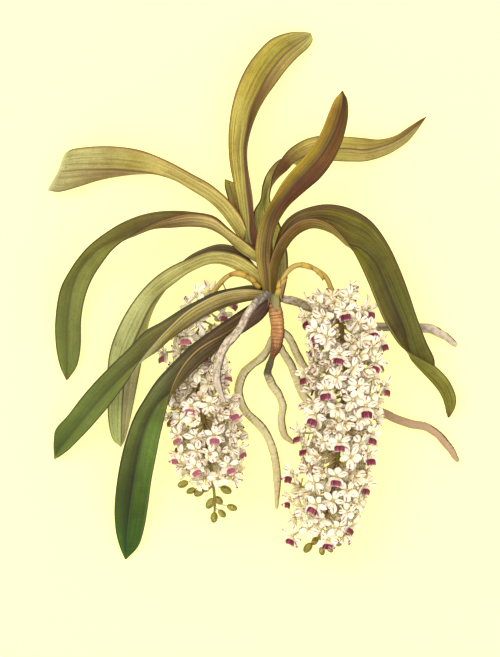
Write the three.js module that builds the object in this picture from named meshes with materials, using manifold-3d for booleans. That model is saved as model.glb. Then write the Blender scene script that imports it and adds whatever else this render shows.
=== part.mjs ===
// A foxtail orchid plant, lifted with bare roots and laid on a flat surface, at life size.
// Millimetres. The fan of leaves, the roots and the two flower racemes spread in X and Y,
// with +Y towards the growing tip, and +Z is up, off the surface at Z = 0.
import * as THREE from "three";
import { mergeVertices } from "three/addons/utils/BufferGeometryUtils.js";
import Module from "manifold-3d";

const wasm = await Module();
wasm.setup();

// Driving dimensions
const LEAF_THICKNESS = 1.8;
const KEEL_SHARE = 1.2; // thickness along the keel, as a share of the blade's
const ROUND_SIDES = 7; // sides of the stem, the roots and the stalks
const CLEARANCE = 0.35; // left between neighbouring pieces
const TIER_PITCH = 12.7; // along a raceme, from one ring of flowers to the next
const FLOWER_MOUTH = 6.1; // radius of the simple flower's open end
const PEDICEL_RADIUS = 1.2;
const COLLAR_SIDES = 6;
const COLLAR_WALL = 1.1;
const COLLAR_LENGTH = 4.6;
const SURFACE_Z = 0;
const MIDDLE = [0.6, -0.2]; // plan position of the middle of the whole plant, moved to the origin
const OVER_ROOT_Z = 6.9; // lowest point of the flowers that lie across a root

const colours = {
  leafUpper: { color: 0x4c6b2c, roughness: 0.45 },
  leafOlive: { color: 0x8f8d3f, roughness: 0.5 },
  root: { color: 0xcfc6a8, roughness: 0.85 },
  stem: { color: 0x9c5a30, roughness: 0.8 },
  sheath: { color: 0x9aa36a, roughness: 0.7 },
  rachis: { color: 0x9a8a2e, roughness: 0.6 },
  flower: { color: 0xf1e6dc, roughness: 0.6 },
  bud: { color: 0x8f9130, roughness: 0.6 },
};
const materials = Object.fromEntries(
  Object.entries(colours).map(([name, look]) => [
    name,
    new THREE.MeshStandardMaterial({ ...look, metalness: 0 }),
  ]),
);

const part = new THREE.Group();
const kept = []; // a slightly larger copy of each finished piece, which later pieces keep clear of

// Solids and meshes
function solidOf(geometry, matrix = new THREE.Matrix4()) {
  const plain = geometry.index ? geometry.toNonIndexed() : geometry.clone();
  const bare = new THREE.BufferGeometry().setAttribute("position", plain.getAttribute("position"));
  const merged = mergeVertices(bare.applyMatrix4(matrix), 1e-4);
  return new wasm.Manifold(
    new wasm.Mesh({
      numProp: 3,
      vertProperties: merged.attributes.position.array,
      triVerts: new Uint32Array(merged.index.array),
    }),
  );
}

function geometryOf(solid) {
  const mesh = solid.getMesh();
  return new THREE.BufferGeometry()
    .setAttribute("position", new THREE.BufferAttribute(new Float32Array(mesh.vertProperties), 3))
    .setIndex(new THREE.BufferAttribute(new Uint32Array(mesh.triVerts), 1));
}

function largestBody(solid) {
  const bodies = solid.decompose();
  return bodies.reduce((best, body) => (body.volume() > best.volume() ? body : best));
}

function boxesMeet(a, b) {
  const first = a.boundingBox();
  const second = b.boundingBox();
  return [0, 1, 2].every((i) => first.min[i] <= second.max[i] && second.min[i] <= first.max[i]);
}

// Everything under a level
function belowLevel(level) {
  const deep = 1000;
  const place = new THREE.Matrix4().makeTranslation(0, 0, level - deep / 2);
  return solidOf(new THREE.BoxGeometry(deep, deep, deep), place);
}

// Adds a piece, cut back from every piece made before it. What a cut severs is left off.
function addPiece(name, material, solid, larger) {
  let trimmed = solid;
  for (const other of kept) {
    if (boxesMeet(trimmed, other)) trimmed = trimmed.subtract(other);
  }
  const geometry = geometryOf(largestBody(trimmed.subtract(belowLevel(SURFACE_Z))));
  geometry.translate(-MIDDLE[0], -MIDDLE[1], 0);
  geometry.computeVertexNormals();
  const mesh = new THREE.Mesh(geometry, materials[material]);
  mesh.name = name;
  part.add(mesh);
  kept.push(larger);
}

// A closed surface over rings of equal length. The first half of each ring is its upper row and
// the second half its lower row, in reverse, so a cap is a strip between the two rows.
function loft(rings, caps) {
  const count = rings[0].length;
  const points = rings.flat();
  const faces = [];
  for (let i = 0; i + 1 < rings.length; i += 1) {
    for (let j = 0; j < count; j += 1) {
      const a = i * count + j;
      const b = i * count + ((j + 1) % count);
      faces.push([a, b, b + count], [a, b + count, a + count]);
    }
  }
  const last = (rings.length - 1) * count;
  for (const [a, b, c] of caps(count)) {
    faces.push([a, b, c], [last + a, last + c, last + b]);
  }
  const geometry = new THREE.BufferGeometry();
  geometry.setFromPoints(points);
  geometry.setIndex(faces.flat());
  const solid = solidOf(geometry);
  if (solid.volume() > 0) return solid;
  geometry.setIndex(faces.flatMap(([a, b, c]) => [a, c, b]));
  return solidOf(geometry);
}

const stripCaps = (count) => {
  const faces = [];
  for (let j = 0; j + 1 < count / 2; j += 1) {
    faces.push([j, count - 2 - j, j + 1], [j, count - 1 - j, count - 2 - j]);
  }
  return faces;
};
const fanCaps = (count) =>
  Array.from({ length: count - 2 }, (_, j) => [0, j + 2, j + 1]);

const point = ([x, y, z]) => new THREE.Vector3(x, y, z);
const radians = THREE.MathUtils.degToRad;

// The frame of a spine that runs near level: side is to the right of travel, up is near +Z.
function levelFrame(along) {
  const side = new THREE.Vector3().crossVectors(along, new THREE.Vector3(0, 0, 1)).normalize();
  const up = new THREE.Vector3().crossVectors(side, along).normalize();
  return { side, up };
}

// Leaves
// Each station on a leaf is [margin, keel, margin], each of them [x, y, z] on the middle of the
// blade's thickness. The two halves of the blade fold along the keel.
function leafSolid(leaf, grow) {
  const half = LEAF_THICKNESS / 2 + grow;
  const stations = leaf.stations.map((station) => station.map(point));
  const last = stations.length - 1;
  const rings = stations.map(([first, keel, second], i) => {
    const along = stations[Math.min(i + 1, last)][1]
      .clone()
      .sub(stations[Math.max(i - 1, 0)][1])
      .normalize();
    const outwards = [first, second].map((margin) => margin.clone().sub(keel).normalize());
    const faces = [
      new THREE.Vector3().crossVectors(outwards[0], along).negate().normalize(),
      new THREE.Vector3().crossVectors(outwards[1], along).normalize(),
    ];
    const ridge = faces[0].clone().add(faces[1]).normalize();
    const ends = (i === 0 ? -grow : 0) + (i === last ? grow : 0);
    const place = (from, across, face, sign) =>
      from
        .clone()
        .addScaledVector(along, ends)
        .addScaledVector(across, grow)
        .addScaledVector(face, sign * half);
    const row = (sign) => [
      place(first, outwards[0], faces[0], sign),
      place(keel, new THREE.Vector3(), ridge, sign * KEEL_SHARE),
      place(second, outwards[1], faces[1], sign),
    ];
    return [...row(1), ...row(-1).reverse()];
  });
  return loft(rings, stripCaps);
}

// In the order in which one is cut back from another: those in front at the crown come first.
const leaves = [
  {
    name: "leaf_right_arching",
    material: "leafUpper",
    stations: [
      [[11, 3, 36.5], [17.5, 1, 30], [12.5, 5.5, 23.5]],
      [[12.5, 20.5, 38.5], [20, 19, 31], [14, 23.5, 24.5]],
      [[17, 34.5, 41], [25, 33, 34], [17, 36, 28]],
      [[24.5, 46.5, 43], [32.5, 43, 36], [22, 51, 33.5]],
      [[35, 55, 44.5], [40, 48, 37], [30.5, 60.5, 34.5]],
      [[47, 57, 46], [48.5, 49.5, 37.5], [43, 66, 35.5]],
      [[59, 52, 47], [60.5, 45, 38], [58, 68, 36]],
      [[70, 40.5, 47], [71.5, 36, 37], [74.5, 64.5, 35]],
      [[78.5, 27, 44], [80.5, 34, 35], [89.5, 55, 36.5]],
      [[86, 12, 35], [92, 25, 32], [101.5, 39, 33.5]],
      [[92.5, -3.5, 31.5], [100, 8.5, 29], [110.5, 20.5, 30.5]],
      [[99.5, -19.5, 28.5], [107.5, -9, 26], [117.5, 2.5, 27.5]],
      [[107, -32, 28.5], [113.5, -23, 23], [124, -16.5, 24]],
      [[114.5, -40.5, 31.5], [116.5, -39, 20.5], [131, -34.5, 19.5]],
      [[126.5, -47, 28.5], [119.5, -48.5, 18.5], [137, -47, 16.5]],
      [[139, -54.5, 20], [127, -57, 16], [138.5, -56, 13]],
      [[148, -63.5, 16.5], [136, -66, 13.5], [145, -65, 8.5]],
      [[153.5, -75, 13], [142, -73.5, 11], [149, -75, 6]],
      [[153.5, -84, 9], [146, -82.5, 8], [149.5, -83, 3.5]],
      [[149.5, -92, 3], [148.5, -92, 3], [148.5, -92.5, 2]],
    ],
  },
  {
    name: "leaf_front_spear",
    material: "leafOlive",
    stations: [
      [[8.5, 2.5, 32], [12.5, 1, 38], [14.5, 2.5, 30.5]],
      [[5.5, 15, 35], [11, 16.5, 41], [14.5, 16.5, 33]],
      [[3, 28.5, 37], [10, 28.5, 43], [14.5, 28.5, 34.5]],
      [[3.5, 41.5, 38.5], [11, 42, 44.5], [15.5, 42, 35.5]],
      [[7, 55.5, 39], [14, 55, 46], [19, 54, 37.5]],
      [[14, 69, 39.5], [20, 67.5, 47], [26.5, 65.5, 39.5]],
      [[23.5, 85, 42], [31, 81, 48], [38, 76.5, 41.5]],
      [[35, 98.5, 43.5], [42.5, 93, 48.5], [51.5, 88, 45.5]],
      [[45.5, 110.5, 44], [52, 104.5, 48.5], [61, 101.5, 43.5]],
      [[52.5, 123, 43.5], [60.5, 118.5, 48], [68, 118, 41.5]],
      [[57.5, 136.5, 46], [66, 134.5, 47.5], [71.5, 133.5, 41.5]],
      [[61.5, 145.5, 44.5], [67.5, 144.5, 46], [71, 145, 41.5]],
      [[66.5, 151, 42], [67.5, 152.5, 42.5], [68, 151, 42]],
    ],
  },
  {
    name: "leaf_left_arching",
    material: "leafUpper",
    stations: [
      [[5, 31.5, 33.5], [8, 22, 30.5], [3.5, 36, 28.5]],
      [[-5, 40.5, 34.5], [-8, 31.5, 31], [-6.5, 41.5, 29]],
      [[-17.5, 49.5, 39], [-20, 43, 32], [-18.5, 51, 27]],
      [[-29, 58, 38], [-32.5, 49.5, 32.5], [-29, 59.5, 30]],
      [[-42.5, 61, 37.5], [-44.5, 51, 32.5], [-44, 62.5, 30]],
      [[-57.5, 59.5, 38], [-59, 50.5, 31.5], [-59.5, 63.5, 29.5]],
      [[-72.5, 54.5, 38.5], [-74, 49.5, 29.5], [-76, 62, 28]],
      [[-87.5, 46.5, 36.5], [-89, 44.5, 27], [-92.5, 57, 26]],
      [[-99.5, 38.5, 33], [-104, 40, 24], [-109, 47.5, 28.5]],
      [[-109, 29, 26], [-117.5, 33.5, 20.5], [-124, 35.5, 26.5]],
      [[-119, 15, 19], [-129.5, 20.5, 16.5], [-137.5, 17.5, 21.5]],
      [[-125.5, -0.5, 14.5], [-136, 4.5, 12.5], [-145, 2.5, 17.5]],
      [[-129, -18.5, 10.5], [-139, -17, 9], [-148.5, -20, 10.5]],
      [[-129.5, -38, 7], [-140, -38, 5.5], [-148, -39.5, 7]],
      [[-132.5, -53, 4], [-140, -53, 3], [-145, -53, 5.5]],
      [[-139.5, -63.5, 1.5], [-140.5, -64, 1.5], [-141, -63.5, 1.5]],
    ],
  },
  {
    name: "leaf_top_centre",
    material: "leafOlive",
    stations: [
      [[-1, 28, 20.5], [5, 25, 27], [8, 29.5, 20]],
      [[-8, 43, 21], [-1, 44.5, 28], [4, 44.5, 20]],
      [[-8.5, 56.5, 21], [-1.5, 57, 29], [2, 57, 20]],
      [[-10, 67.5, 20.5], [-2.5, 69, 29], [0.5, 69, 19.5]],
      [[-13, 82.5, 20.5], [-4, 82.5, 29], [-1.5, 82.5, 19]],
      [[-16, 97, 21], [-5, 97.5, 28.5], [-3.5, 97.5, 18]],
      [[-17.5, 112, 21], [-5.5, 111, 28], [-3.5, 111, 17.5]],
      [[-17, 127.5, 23.5], [-3.5, 125.5, 27], [-1, 124, 16.5]],
      [[-14.5, 144, 22.5], [-0.5, 139, 25.5], [4, 137.5, 15.5]],
      [[-10, 159, 20.5], [5, 151, 23.5], [9.5, 148, 14]],
      [[-3.5, 172.5, 18.5], [10, 161.5, 21], [16, 157.5, 12]],
      [[4, 183, 16], [17, 172, 18], [24.5, 169, 10.5]],
      [[14, 193, 13.5], [25, 181.5, 14.5], [34, 179.5, 9]],
      [[26, 198, 9.5], [34, 189, 10.5], [42.5, 187.5, 6.5]],
      [[37, 199.5, 5], [40, 193.5, 6.5], [45.5, 193, 3.5]],
      [[44.5, 199, 3], [44.5, 198, 3], [45.5, 197.5, 2.5]],
    ],
  },
  {
    name: "leaf_left_front",
    material: "leafUpper",
    stations: [
      [[11, 3, 37], [9.5, -3.5, 31], [8, 5.5, 28.5]],
      [[-1, 4.5, 38], [-1, -4.5, 34], [-1, 7.5, 32]],
      [[-14, 4, 40.5], [-14, -7.5, 37.5], [-14.5, 5.5, 35.5]],
      [[-26.5, 0.5, 44.5], [-26, -12, 41.5], [-27.5, 2.5, 39]],
      [[-39.5, -6, 47], [-38, -18, 44.5], [-40, -3.5, 42]],
      [[-51.5, -14, 48.5], [-49, -25.5, 46], [-53, -10.5, 43]],
      [[-62.5, -24.5, 51.5], [-60.5, -33.5, 45], [-67, -19.5, 43]],
      [[-73, -36, 49.5], [-71, -42.5, 41], [-80, -27, 39.5]],
      [[-83, -48.5, 45.5], [-83, -50, 35.5], [-92, -39.5, 37.5]],
      [[-92.5, -63.5, 39.5], [-95.5, -60, 30], [-104, -51, 32]],
      [[-102.5, -76.5, 32.5], [-107.5, -72, 24.5], [-116, -63, 26.5]],
      [[-113.5, -90, 25.5], [-119.5, -85, 18.5], [-128, -76.5, 20.5]],
      [[-125.5, -103.5, 18.5], [-131, -99, 12.5], [-138.5, -90, 14.5]],
      [[-137.5, -115, 12.5], [-140.5, -111.5, 7], [-148, -100.5, 8.5]],
      [[-145, -121, 7.5], [-146.5, -118.5, 3.5], [-150, -109.5, 5]],
      [[-148.5, -123.5, 2], [-149.5, -124, 2], [-150, -122.5, 2]],
    ],
  },
  {
    name: "leaf_lower_front",
    material: "leafUpper",
    stations: [
      [[11, -3.5, 29.5], [17.5, -6, 23], [5, -2, 20.5]],
      [[1, -12.5, 33.5], [8, -18.5, 28], [-3.5, -8, 26]],
      [[-8.5, -20, 40], [-3.5, -27, 33.5], [-12.5, -14, 31.5]],
      [[-19, -27, 46.5], [-14.5, -33, 39], [-23.5, -21.5, 37]],
      [[-30.5, -33.5, 51], [-25, -41, 44], [-35.5, -30, 42]],
      [[-42.5, -41.5, 52.5], [-36.5, -51, 47], [-47.5, -39, 45.5]],
      [[-52, -52.5, 55], [-47.5, -61.5, 48], [-59.5, -51, 47]],
      [[-59.5, -67.5, 55.5], [-58, -72.5, 45.5], [-71, -63.5, 47]],
      [[-64, -85.5, 50], [-70, -81.5, 40.5], [-80.5, -78, 45]],
      [[-68.5, -103.5, 37.5], [-79, -97.5, 34.5], [-89, -93.5, 40]],
      [[-71.5, -118.5, 31.5], [-84, -115.5, 28.5], [-96.5, -115.5, 31]],
      [[-75.5, -138.5, 23.5], [-88, -137, 21], [-101, -137, 23]],
      [[-78.5, -159.5, 16], [-91.5, -159, 13.5], [-103.5, -159, 15.5]],
      [[-81.5, -176, 9.5], [-94, -176, 7.5], [-103, -176, 9.5]],
      [[-86, -189.5, 5], [-95, -189.5, 3.5], [-100.5, -188, 6]],
      [[-95, -199.5, 1.5], [-95.5, -200, 1.5], [-96.5, -199, 1.5]],
    ],
  },
  {
    name: "leaf_left_pale",
    material: "leafOlive",
    stations: [
      [[8, 17.5, 30], [10, 2.5, 27], [5, 19, 24]],
      [[-1, 25, 29.5], [-4, 13, 26.5], [-2.5, 28.5, 23.5]],
      [[-11.5, 31, 29], [-14.5, 19.5, 26], [-11.5, 36, 23]],
      [[-23.5, 33.5, 31.5], [-25, 23, 25.5], [-24.5, 38.5, 22.5]],
      [[-36.5, 32, 31.5], [-35.5, 22, 24.5], [-38, 34.5, 21.5]],
      [[-50, 26.5, 30], [-47.5, 16.5, 23], [-49, 28, 17]],
      [[-63.5, 20, 26], [-58, 9, 21.5], [-59.5, 16.5, 12]],
      [[-76, 10.5, 25], [-68.5, 1.5, 20], [-66.5, 3, 9]],
      [[-87.5, -2, 21], [-76, -8, 18.5], [-73, -8, 7.5]],
      [[-98, -18.5, 18], [-83, -22.5, 17], [-78.5, -22.5, 6]],
      [[-106, -37.5, 13.5], [-90.5, -39, 15], [-82, -41, 6]],
      [[-109, -54.5, 11.5], [-95.5, -56, 13], [-85, -57.5, 5.5]],
      [[-109, -75, 9.5], [-97.5, -75, 11], [-88.5, -75, 5]],
      [[-108.5, -93.5, 7.5], [-98.5, -93.5, 9], [-92.5, -93.5, 3]],
      [[-105.5, -108, 4], [-99, -108, 6], [-96.5, -108, 1.5]],
      [[-100, -114, 2], [-99.5, -114.5, 2.5], [-99, -114, 2]],
    ],
  },
  {
    name: "leaf_upper_left",
    material: "leafOlive",
    stations: [
      [[-4, 50.5, 27], [-6.5, 38.5, 24], [-8.5, 52, 21.5]],
      [[-8.5, 60, 26.5], [-14.5, 49.5, 23.5], [-10, 60, 21]],
      [[-17.5, 71.5, 27], [-23, 61, 23.5], [-17.5, 70, 17.5]],
      [[-29, 81.5, 29], [-32.5, 70.5, 23.5], [-28, 78, 15]],
      [[-41.5, 89, 30], [-44.5, 78.5, 23.5], [-41, 84, 13.5]],
      [[-56, 97, 30], [-59, 87, 23], [-55, 90, 12]],
      [[-70, 104, 24.5], [-74, 91.5, 22], [-70, 92.5, 11]],
      [[-83.5, 109, 22], [-87.5, 93, 20], [-85, 91.5, 9.5]],
      [[-97, 111.5, 19.5], [-101, 94.5, 18], [-101, 90, 7.5]],
      [[-110.5, 112.5, 14.5], [-114.5, 94.5, 16], [-116, 87, 7]],
      [[-124, 112, 11.5], [-128.5, 94.5, 13.5], [-131.5, 82, 10.5]],
      [[-135.5, 110.5, 8.5], [-139, 94, 10.5], [-145, 78.5, 8]],
      [[-141.5, 107.5, 5], [-146, 94, 8], [-154.5, 79.5, 5]],
    ],
  },
  {
    name: "leaf_back_right",
    material: "leafOlive",
    stations: [
      [[11, -0.5, 22], [17, -3.5, 19.4], [23, -2, 23.5]],
      [[8, 15, 18], [17.5, 13.5, 15], [26.5, 15, 19.5]],
      [[4, 34, 14.5], [15.5, 34, 11.5], [26.5, 32.5, 15.5]],
      [[1.5, 52.5, 12.5], [12.5, 51, 10], [22, 50.5, 15.5]],
      [[1.5, 62.5, 17], [10, 62.5, 10.5], [17.5, 59.5, 18.5]],
      [[6.5, 72, 21.5], [10, 72, 12], [13.5, 71.5, 22.5]],
      [[8, 83.5, 21], [12.5, 79, 13.5], [14, 81, 24]],
      [[12.5, 94, 9.5], [19, 88, 14.5], [16, 91, 24.5]],
      [[22, 103, 9.5], [26.5, 94.5, 15.5], [21.5, 101.5, 23]],
      [[32.5, 99, 6.5], [34, 102.5, 16.5], [29.5, 111, 22]],
      [[46, 99, 8], [44.5, 107.5, 16], [41, 118, 18]],
      [[59, 102, 7.5], [57.5, 110.5, 15], [55, 120.5, 18]],
      [[71.5, 101.5, 7.5], [71, 111, 13.5], [70, 120, 9]],
      [[84.5, 102, 5], [84.5, 110, 11.5], [83.5, 119, 7]],
      [[98, 105, 4.5], [97, 112.5, 9.5], [96.5, 118, 4]],
      [[110, 111, 3.5], [108.5, 117, 7.5], [108.5, 121, 3]],
      [[120.5, 120, 2], [119, 124, 5], [118, 127, 2]],
      [[131, 134.5, 2], [132, 135.5, 2], [130.5, 135, 2]],
    ],
  },
  {
    name: "leaf_young_behind",
    material: "leafUpper",
    stations: [
      [[-9, 38, 22], [-3, 38, 20], [2, 38, 22]],
      [[-14.5, 60, 17], [-10, 60, 13], [-5.5, 60, 17]],
      [[-17.5, 71.5, 15.5], [-13, 71.5, 11.5], [-8.5, 71.5, 15.5]],
      [[-20, 80.5, 15], [-16, 80.5, 10.5], [-11.5, 80.5, 14.5]],
      [[-20.5, 88, 11], [-17.5, 87, 9.5], [-14, 85.5, 11]],
    ],
  },
];

// Round pieces: each station is [x, y, z, radius].
const curvesOf = (stations) => ({
  line: new THREE.CatmullRomCurve3(stations.map(point)),
  sizes: new THREE.CatmullRomCurve3(stations.map((s) => new THREE.Vector3(s[3], 0, 0))),
});

function rodSolid(stations, sides, grow) {
  const spans = stations.length - 1;
  const { line, sizes } = curvesOf(stations);
  const rings = [];
  for (let i = 0; i <= spans; i += 1) {
    const t = i / spans;
    const along = line.getTangent(t);
    const { side, up } = levelFrame(along);
    const centre = line.getPoint(t);
    if (i === 0) centre.addScaledVector(along, -grow);
    if (i === spans) centre.addScaledVector(along, grow);
    const radius = sizes.getPoint(t).x + grow;
    rings.push(
      Array.from({ length: sides }, (_, j) => {
        const angle = (2 * Math.PI * (j + 0.5)) / sides;
        return centre
          .clone()
          .addScaledVector(side, radius * Math.cos(angle))
          .addScaledVector(up, radius * Math.sin(angle));
      }),
    );
  }
  return loft(rings, fanCaps);
}

function addRod(name, material, stations, gap) {
  const solid = rodSolid(stations, ROUND_SIDES, 0);
  addPiece(name, material, solid, rodSolid(stations, ROUND_SIDES, gap));
}

const stemStations = [
  [15.7, -45.5, 18, 2.2],
  [18.3, -38.5, 21, 4.2],
  [19, -31.5, 23, 5],
  [19.2, -23, 24.5, 5.3],
  [17.6, -11, 25.5, 5.2],
  [16, 1, 25.5, 4.6],
  [13.5, 14, 26, 4.4],
  [10.5, 27, 26.5, 4.2],
  [5, 41, 25, 3],
];

const roots = [
  {
    name: "root_front_left",
    stations: [
      [12.5, 1.5, 41.5, 3.1],
      [2, -6.5, 43.5, 3.2],
      [-5, -17, 46, 3.2],
      [-11, -28, 49.5, 3.2],
      [-19.5, -37, 54, 3.1],
      [-23.5, -46, 55.5, 3.1],
      [-26, -57, 55, 3],
      [-25, -67, 54, 2.8],
      [-21, -78, 52.5, 1.4],
    ],
  },
  {
    name: "root_long_centre",
    stations: [
      [15.2, -32, 18, 2.6],
      [12.5, -39, 12.5, 3],
      [7.5, -46.5, 7, 3.2],
      [-1, -53, 3.8, 3.2],
      [-7.5, -61.5, 3.3, 3.2],
      [-9.8, -74, 3.3, 3.2],
      [-5, -87, 3.3, 3.2],
      [7.5, -100, 3.3, 3.2],
      [14, -111, 3.3, 3.1],
      [17.5, -124, 3.3, 3.1],
      [19, -139, 3.2, 3],
      [18.7, -159, 2.4, 1.4],
    ],
  },
  {
    name: "root_short_centre",
    stations: [
      [15.6, -45, 18, 2.2],
      [12.8, -54, 9, 2.8],
      [12.3, -60, 5, 3],
      [15.5, -67.5, 3.2, 3],
      [20.8, -75.5, 3.1, 2.9],
      [23.3, -85, 3, 2.8],
      [22.3, -95, 2.9, 2.7],
      [24.5, -105, 2.8, 2.6],
      [30, -110.5, 2.3, 1.5],
    ],
  },
  {
    name: "root_right_short",
    stations: [
      [23.5, -27.5, 22.5, 2.8],
      [27.5, -31.5, 17.5, 3],
      [31, -37.5, 11.5, 3.1],
      [35, -46.5, 6, 3.1],
      [40, -54.5, 3.4, 3.1],
      [48, -62, 3.2, 3],
      [57, -67, 2.6, 1.8],
    ],
  },
  {
    name: "root_right_long",
    stations: [
      [21.5, -38.5, 17.5, 2.6],
      [24, -43.5, 12.5, 2.9],
      [27.5, -49, 7.5, 3.1],
      [32, -59, 4, 3.2],
      [37, -72, 3.3, 3.2],
      [44, -80.5, 3.3, 3.2],
      [56, -85, 3.3, 3.2],
      [74, -86.5, 3.3, 3.2],
      [96, -87.5, 3.3, 3.2],
      [108, -93, 3.3, 3.2],
      [119, -96.5, 3.3, 3.2],
      [132, -99.5, 3.3, 3.1],
      [141, -105.5, 3.3, 3],
      [149, -114.5, 3.2, 2.8],
      [154.5, -123, 2.6, 1.8],
    ],
  },
  {
    name: "root_right_upper",
    stations: [
      [23, -2.5, 23, 2.8],
      [28, -3.5, 19, 3.1],
      [33, -4.5, 14, 3.3],
      [41, -7.5, 8, 3.4],
      [52, -12, 4.2, 3.4],
      [70, -18, 3.5, 3.4],
      [91, -23, 3.5, 3.4],
      [111, -23.5, 3.5, 3.4],
      [126, -24, 3.5, 3.4],
      [136.5, -26, 3.5, 3.4],
      [145.5, -30, 3.4, 3.2],
      [152, -35.5, 3, 2.4],
    ],
  },
];

// Racemes: the stalk's stations, where its first ring of flowers sits, and for each ring how far
// the flowers reach and how much they lean towards the tip. Rings in overRoots lie across a root.
const racemes = [
  {
    side: "right",
    stalk: [
      [18.5, 0.5, 38, 1.9],
      [21.5, 8.5, 39.5, 2],
      [26, 17, 40.5, 2],
      [32.5, 22, 40.5, 2],
      [40.5, 22.3, 39.5, 2],
      [48, 19, 37.5, 2],
      [55.5, 13, 35, 2],
      [59.5, 4, 33, 2],
      [63, -5, 31.5, 2],
      [66, -17, 31, 2],
      [67.5, -30, 30.5, 2],
      [69, -45, 30.5, 2],
      [69.5, -60, 30.5, 1.9],
      [68.5, -78, 30, 1.9],
      [67, -97, 29.5, 1.8],
      [64.5, -119.5, 28.5, 1.7],
      [61, -142, 27, 1.5],
      [56.5, -159.5, 25, 1.3],
      [52.5, -172, 22, 1.1],
      [50.5, -183, 18, 0.9],
    ],
    flowersFrom: [62.5, -4, 31.5],
    reach: [23, 27, 30, 31, 31, 31, 31, 30.5, 30, 29.5, 29, 29, 29, 28],
    lean: [-0.3, 0.05, 0.15, 0.15, 0.15, 0.15, 0.15, 0.15, 0.15, 0.15, 0.2, 0.3, 0.4, 0.6],
    overRoots: [1, 2, 5, 6, 7],
    buds: [{ lengths: [14, 17, 13, 16, 15], tilt: 1.6 }],
  },
  {
    side: "left",
    stalk: [
      [6.5, 5.5, 30.5, 1.8],
      [-1, 12, 31, 1.9],
      [-8.5, 16, 30.5, 1.9],
      [-16, 15.5, 29.5, 1.9],
      [-23, 10, 28, 1.9],
      [-30, 0, 26, 1.9],
      [-35, -12.5, 25, 1.8],
      [-39, -26, 24.5, 1.8],
      [-41, -41, 25, 1.8],
      [-41, -60, 25.5, 1.8],
      [-39, -78.5, 26, 1.7],
      [-36, -93.5, 26, 1.7],
      [-33, -112, 25.5, 1.6],
      [-30.5, -131, 24, 1.4],
      [-28.5, -147.5, 20.5, 1.2],
      [-28, -159.5, 16.5, 1],
      [-28.8, -166.5, 13.5, 0.8],
    ],
    flowersFrom: [-29, 1, 26],
    reach: [16, 19, 20, 22, 24, 26, 28, 29, 30, 29, 28, 26],
    lean: [-0.2, 0, 0.1, 0.15, 0.15, 0.15, 0.15, 0.15, 0.15, 0.2, 0.25, 0.4],
    overRoots: [],
    buds: [
      { lengths: [16, 20, 14, 18, 15, 19], tilt: 0.6 },
      { lengths: [10, 12, 11, 9], tilt: 1.2 },
    ],
  },
];

// A ring that a stalk passes through, along +Z about its own middle
function collarSolid(inner, outer, length) {
  const turn = new THREE.Matrix4().makeRotationX(Math.PI / 2);
  const wall = solidOf(new THREE.CylinderGeometry(outer, outer, length, COLLAR_SIDES), turn);
  const hole = solidOf(new THREE.CylinderGeometry(inner, inner, length * 2, COLLAR_SIDES), turn);
  return wall.subtract(hole);
}

// A profile turned about +Z, moved so that it starts at a point and runs along a direction
function turned(profile, sides, start, direction) {
  const outline = profile.map(([r, h]) => new THREE.Vector2(r, h));
  const aim = new THREE.Quaternion().setFromUnitVectors(
    new THREE.Vector3(0, 1, 0),
    direction.clone().normalize(),
  );
  const place = new THREE.Matrix4().compose(start, aim, new THREE.Vector3(1, 1, 1));
  return solidOf(new THREE.LatheGeometry(outline, sides), place);
}

const flowerProfile = (length) => [
  [0, 0],
  [PEDICEL_RADIUS, 0],
  [FLOWER_MOUTH, length],
  [0, length],
];
const budProfile = (length) => [
  [0, 0],
  [0.75, 0],
  [0.85, length - 6.4],
  [2.7, length - 3.6],
  [2, length - 0.8],
  [0, length],
];

// The stalk's frame at a distance along it, with the hole that a collar needs there
function stalkFrame({ line, sizes }, distance) {
  const u = THREE.MathUtils.clamp(distance / line.getLength(), 0, 1);
  const t = line.getUtoTmapping(u);
  const along = line.getTangent(t).normalize();
  return {
    centre: line.getPoint(t),
    along,
    ...levelFrame(along),
    hole: sizes.getPoint(t).x + CLEARANCE + 0.2,
  };
}

// One ring of flowers or buds round the stalk, cut off flat where it lies on the surface
function ringOfFlowers(frame, lengths, turnBy, profile, lean, lowest) {
  const { centre, along, side, up, hole } = frame;
  const stand = new THREE.Matrix4().makeBasis(side, up, side.clone().cross(up));
  stand.setPosition(centre);
  const collar = collarSolid(hole, hole + COLLAR_WALL, COLLAR_LENGTH);
  let ring = solidOf(geometryOf(collar), stand);
  lengths.forEach((length, k) => {
    const angle = turnBy + (2 * Math.PI * k) / lengths.length;
    const out = side.clone().multiplyScalar(Math.cos(angle)).addScaledVector(up, Math.sin(angle));
    const start = centre.clone().addScaledVector(out, hole + 0.4);
    const direction = out.clone().addScaledVector(along, lean);
    ring = ring.add(turned(profile(length - hole), 5, start, direction));
  });
  return ring.subtract(belowLevel(lowest));
}

// The distance along a stalk at which it comes nearest a point
function distanceTo(line, target) {
  const steps = 400;
  const goal = point(target);
  let best = 0;
  for (let i = 0; i <= steps; i += 1) {
    const near = line.getPointAt(i / steps).distanceTo(goal);
    if (near < line.getPointAt(best / steps).distanceTo(goal)) best = i;
  }
  return (best / steps) * line.getLength();
}

const twoDigits = (n) => String(n).padStart(2, "0");
const GOLDEN_ANGLE = radians(137.5);

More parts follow.
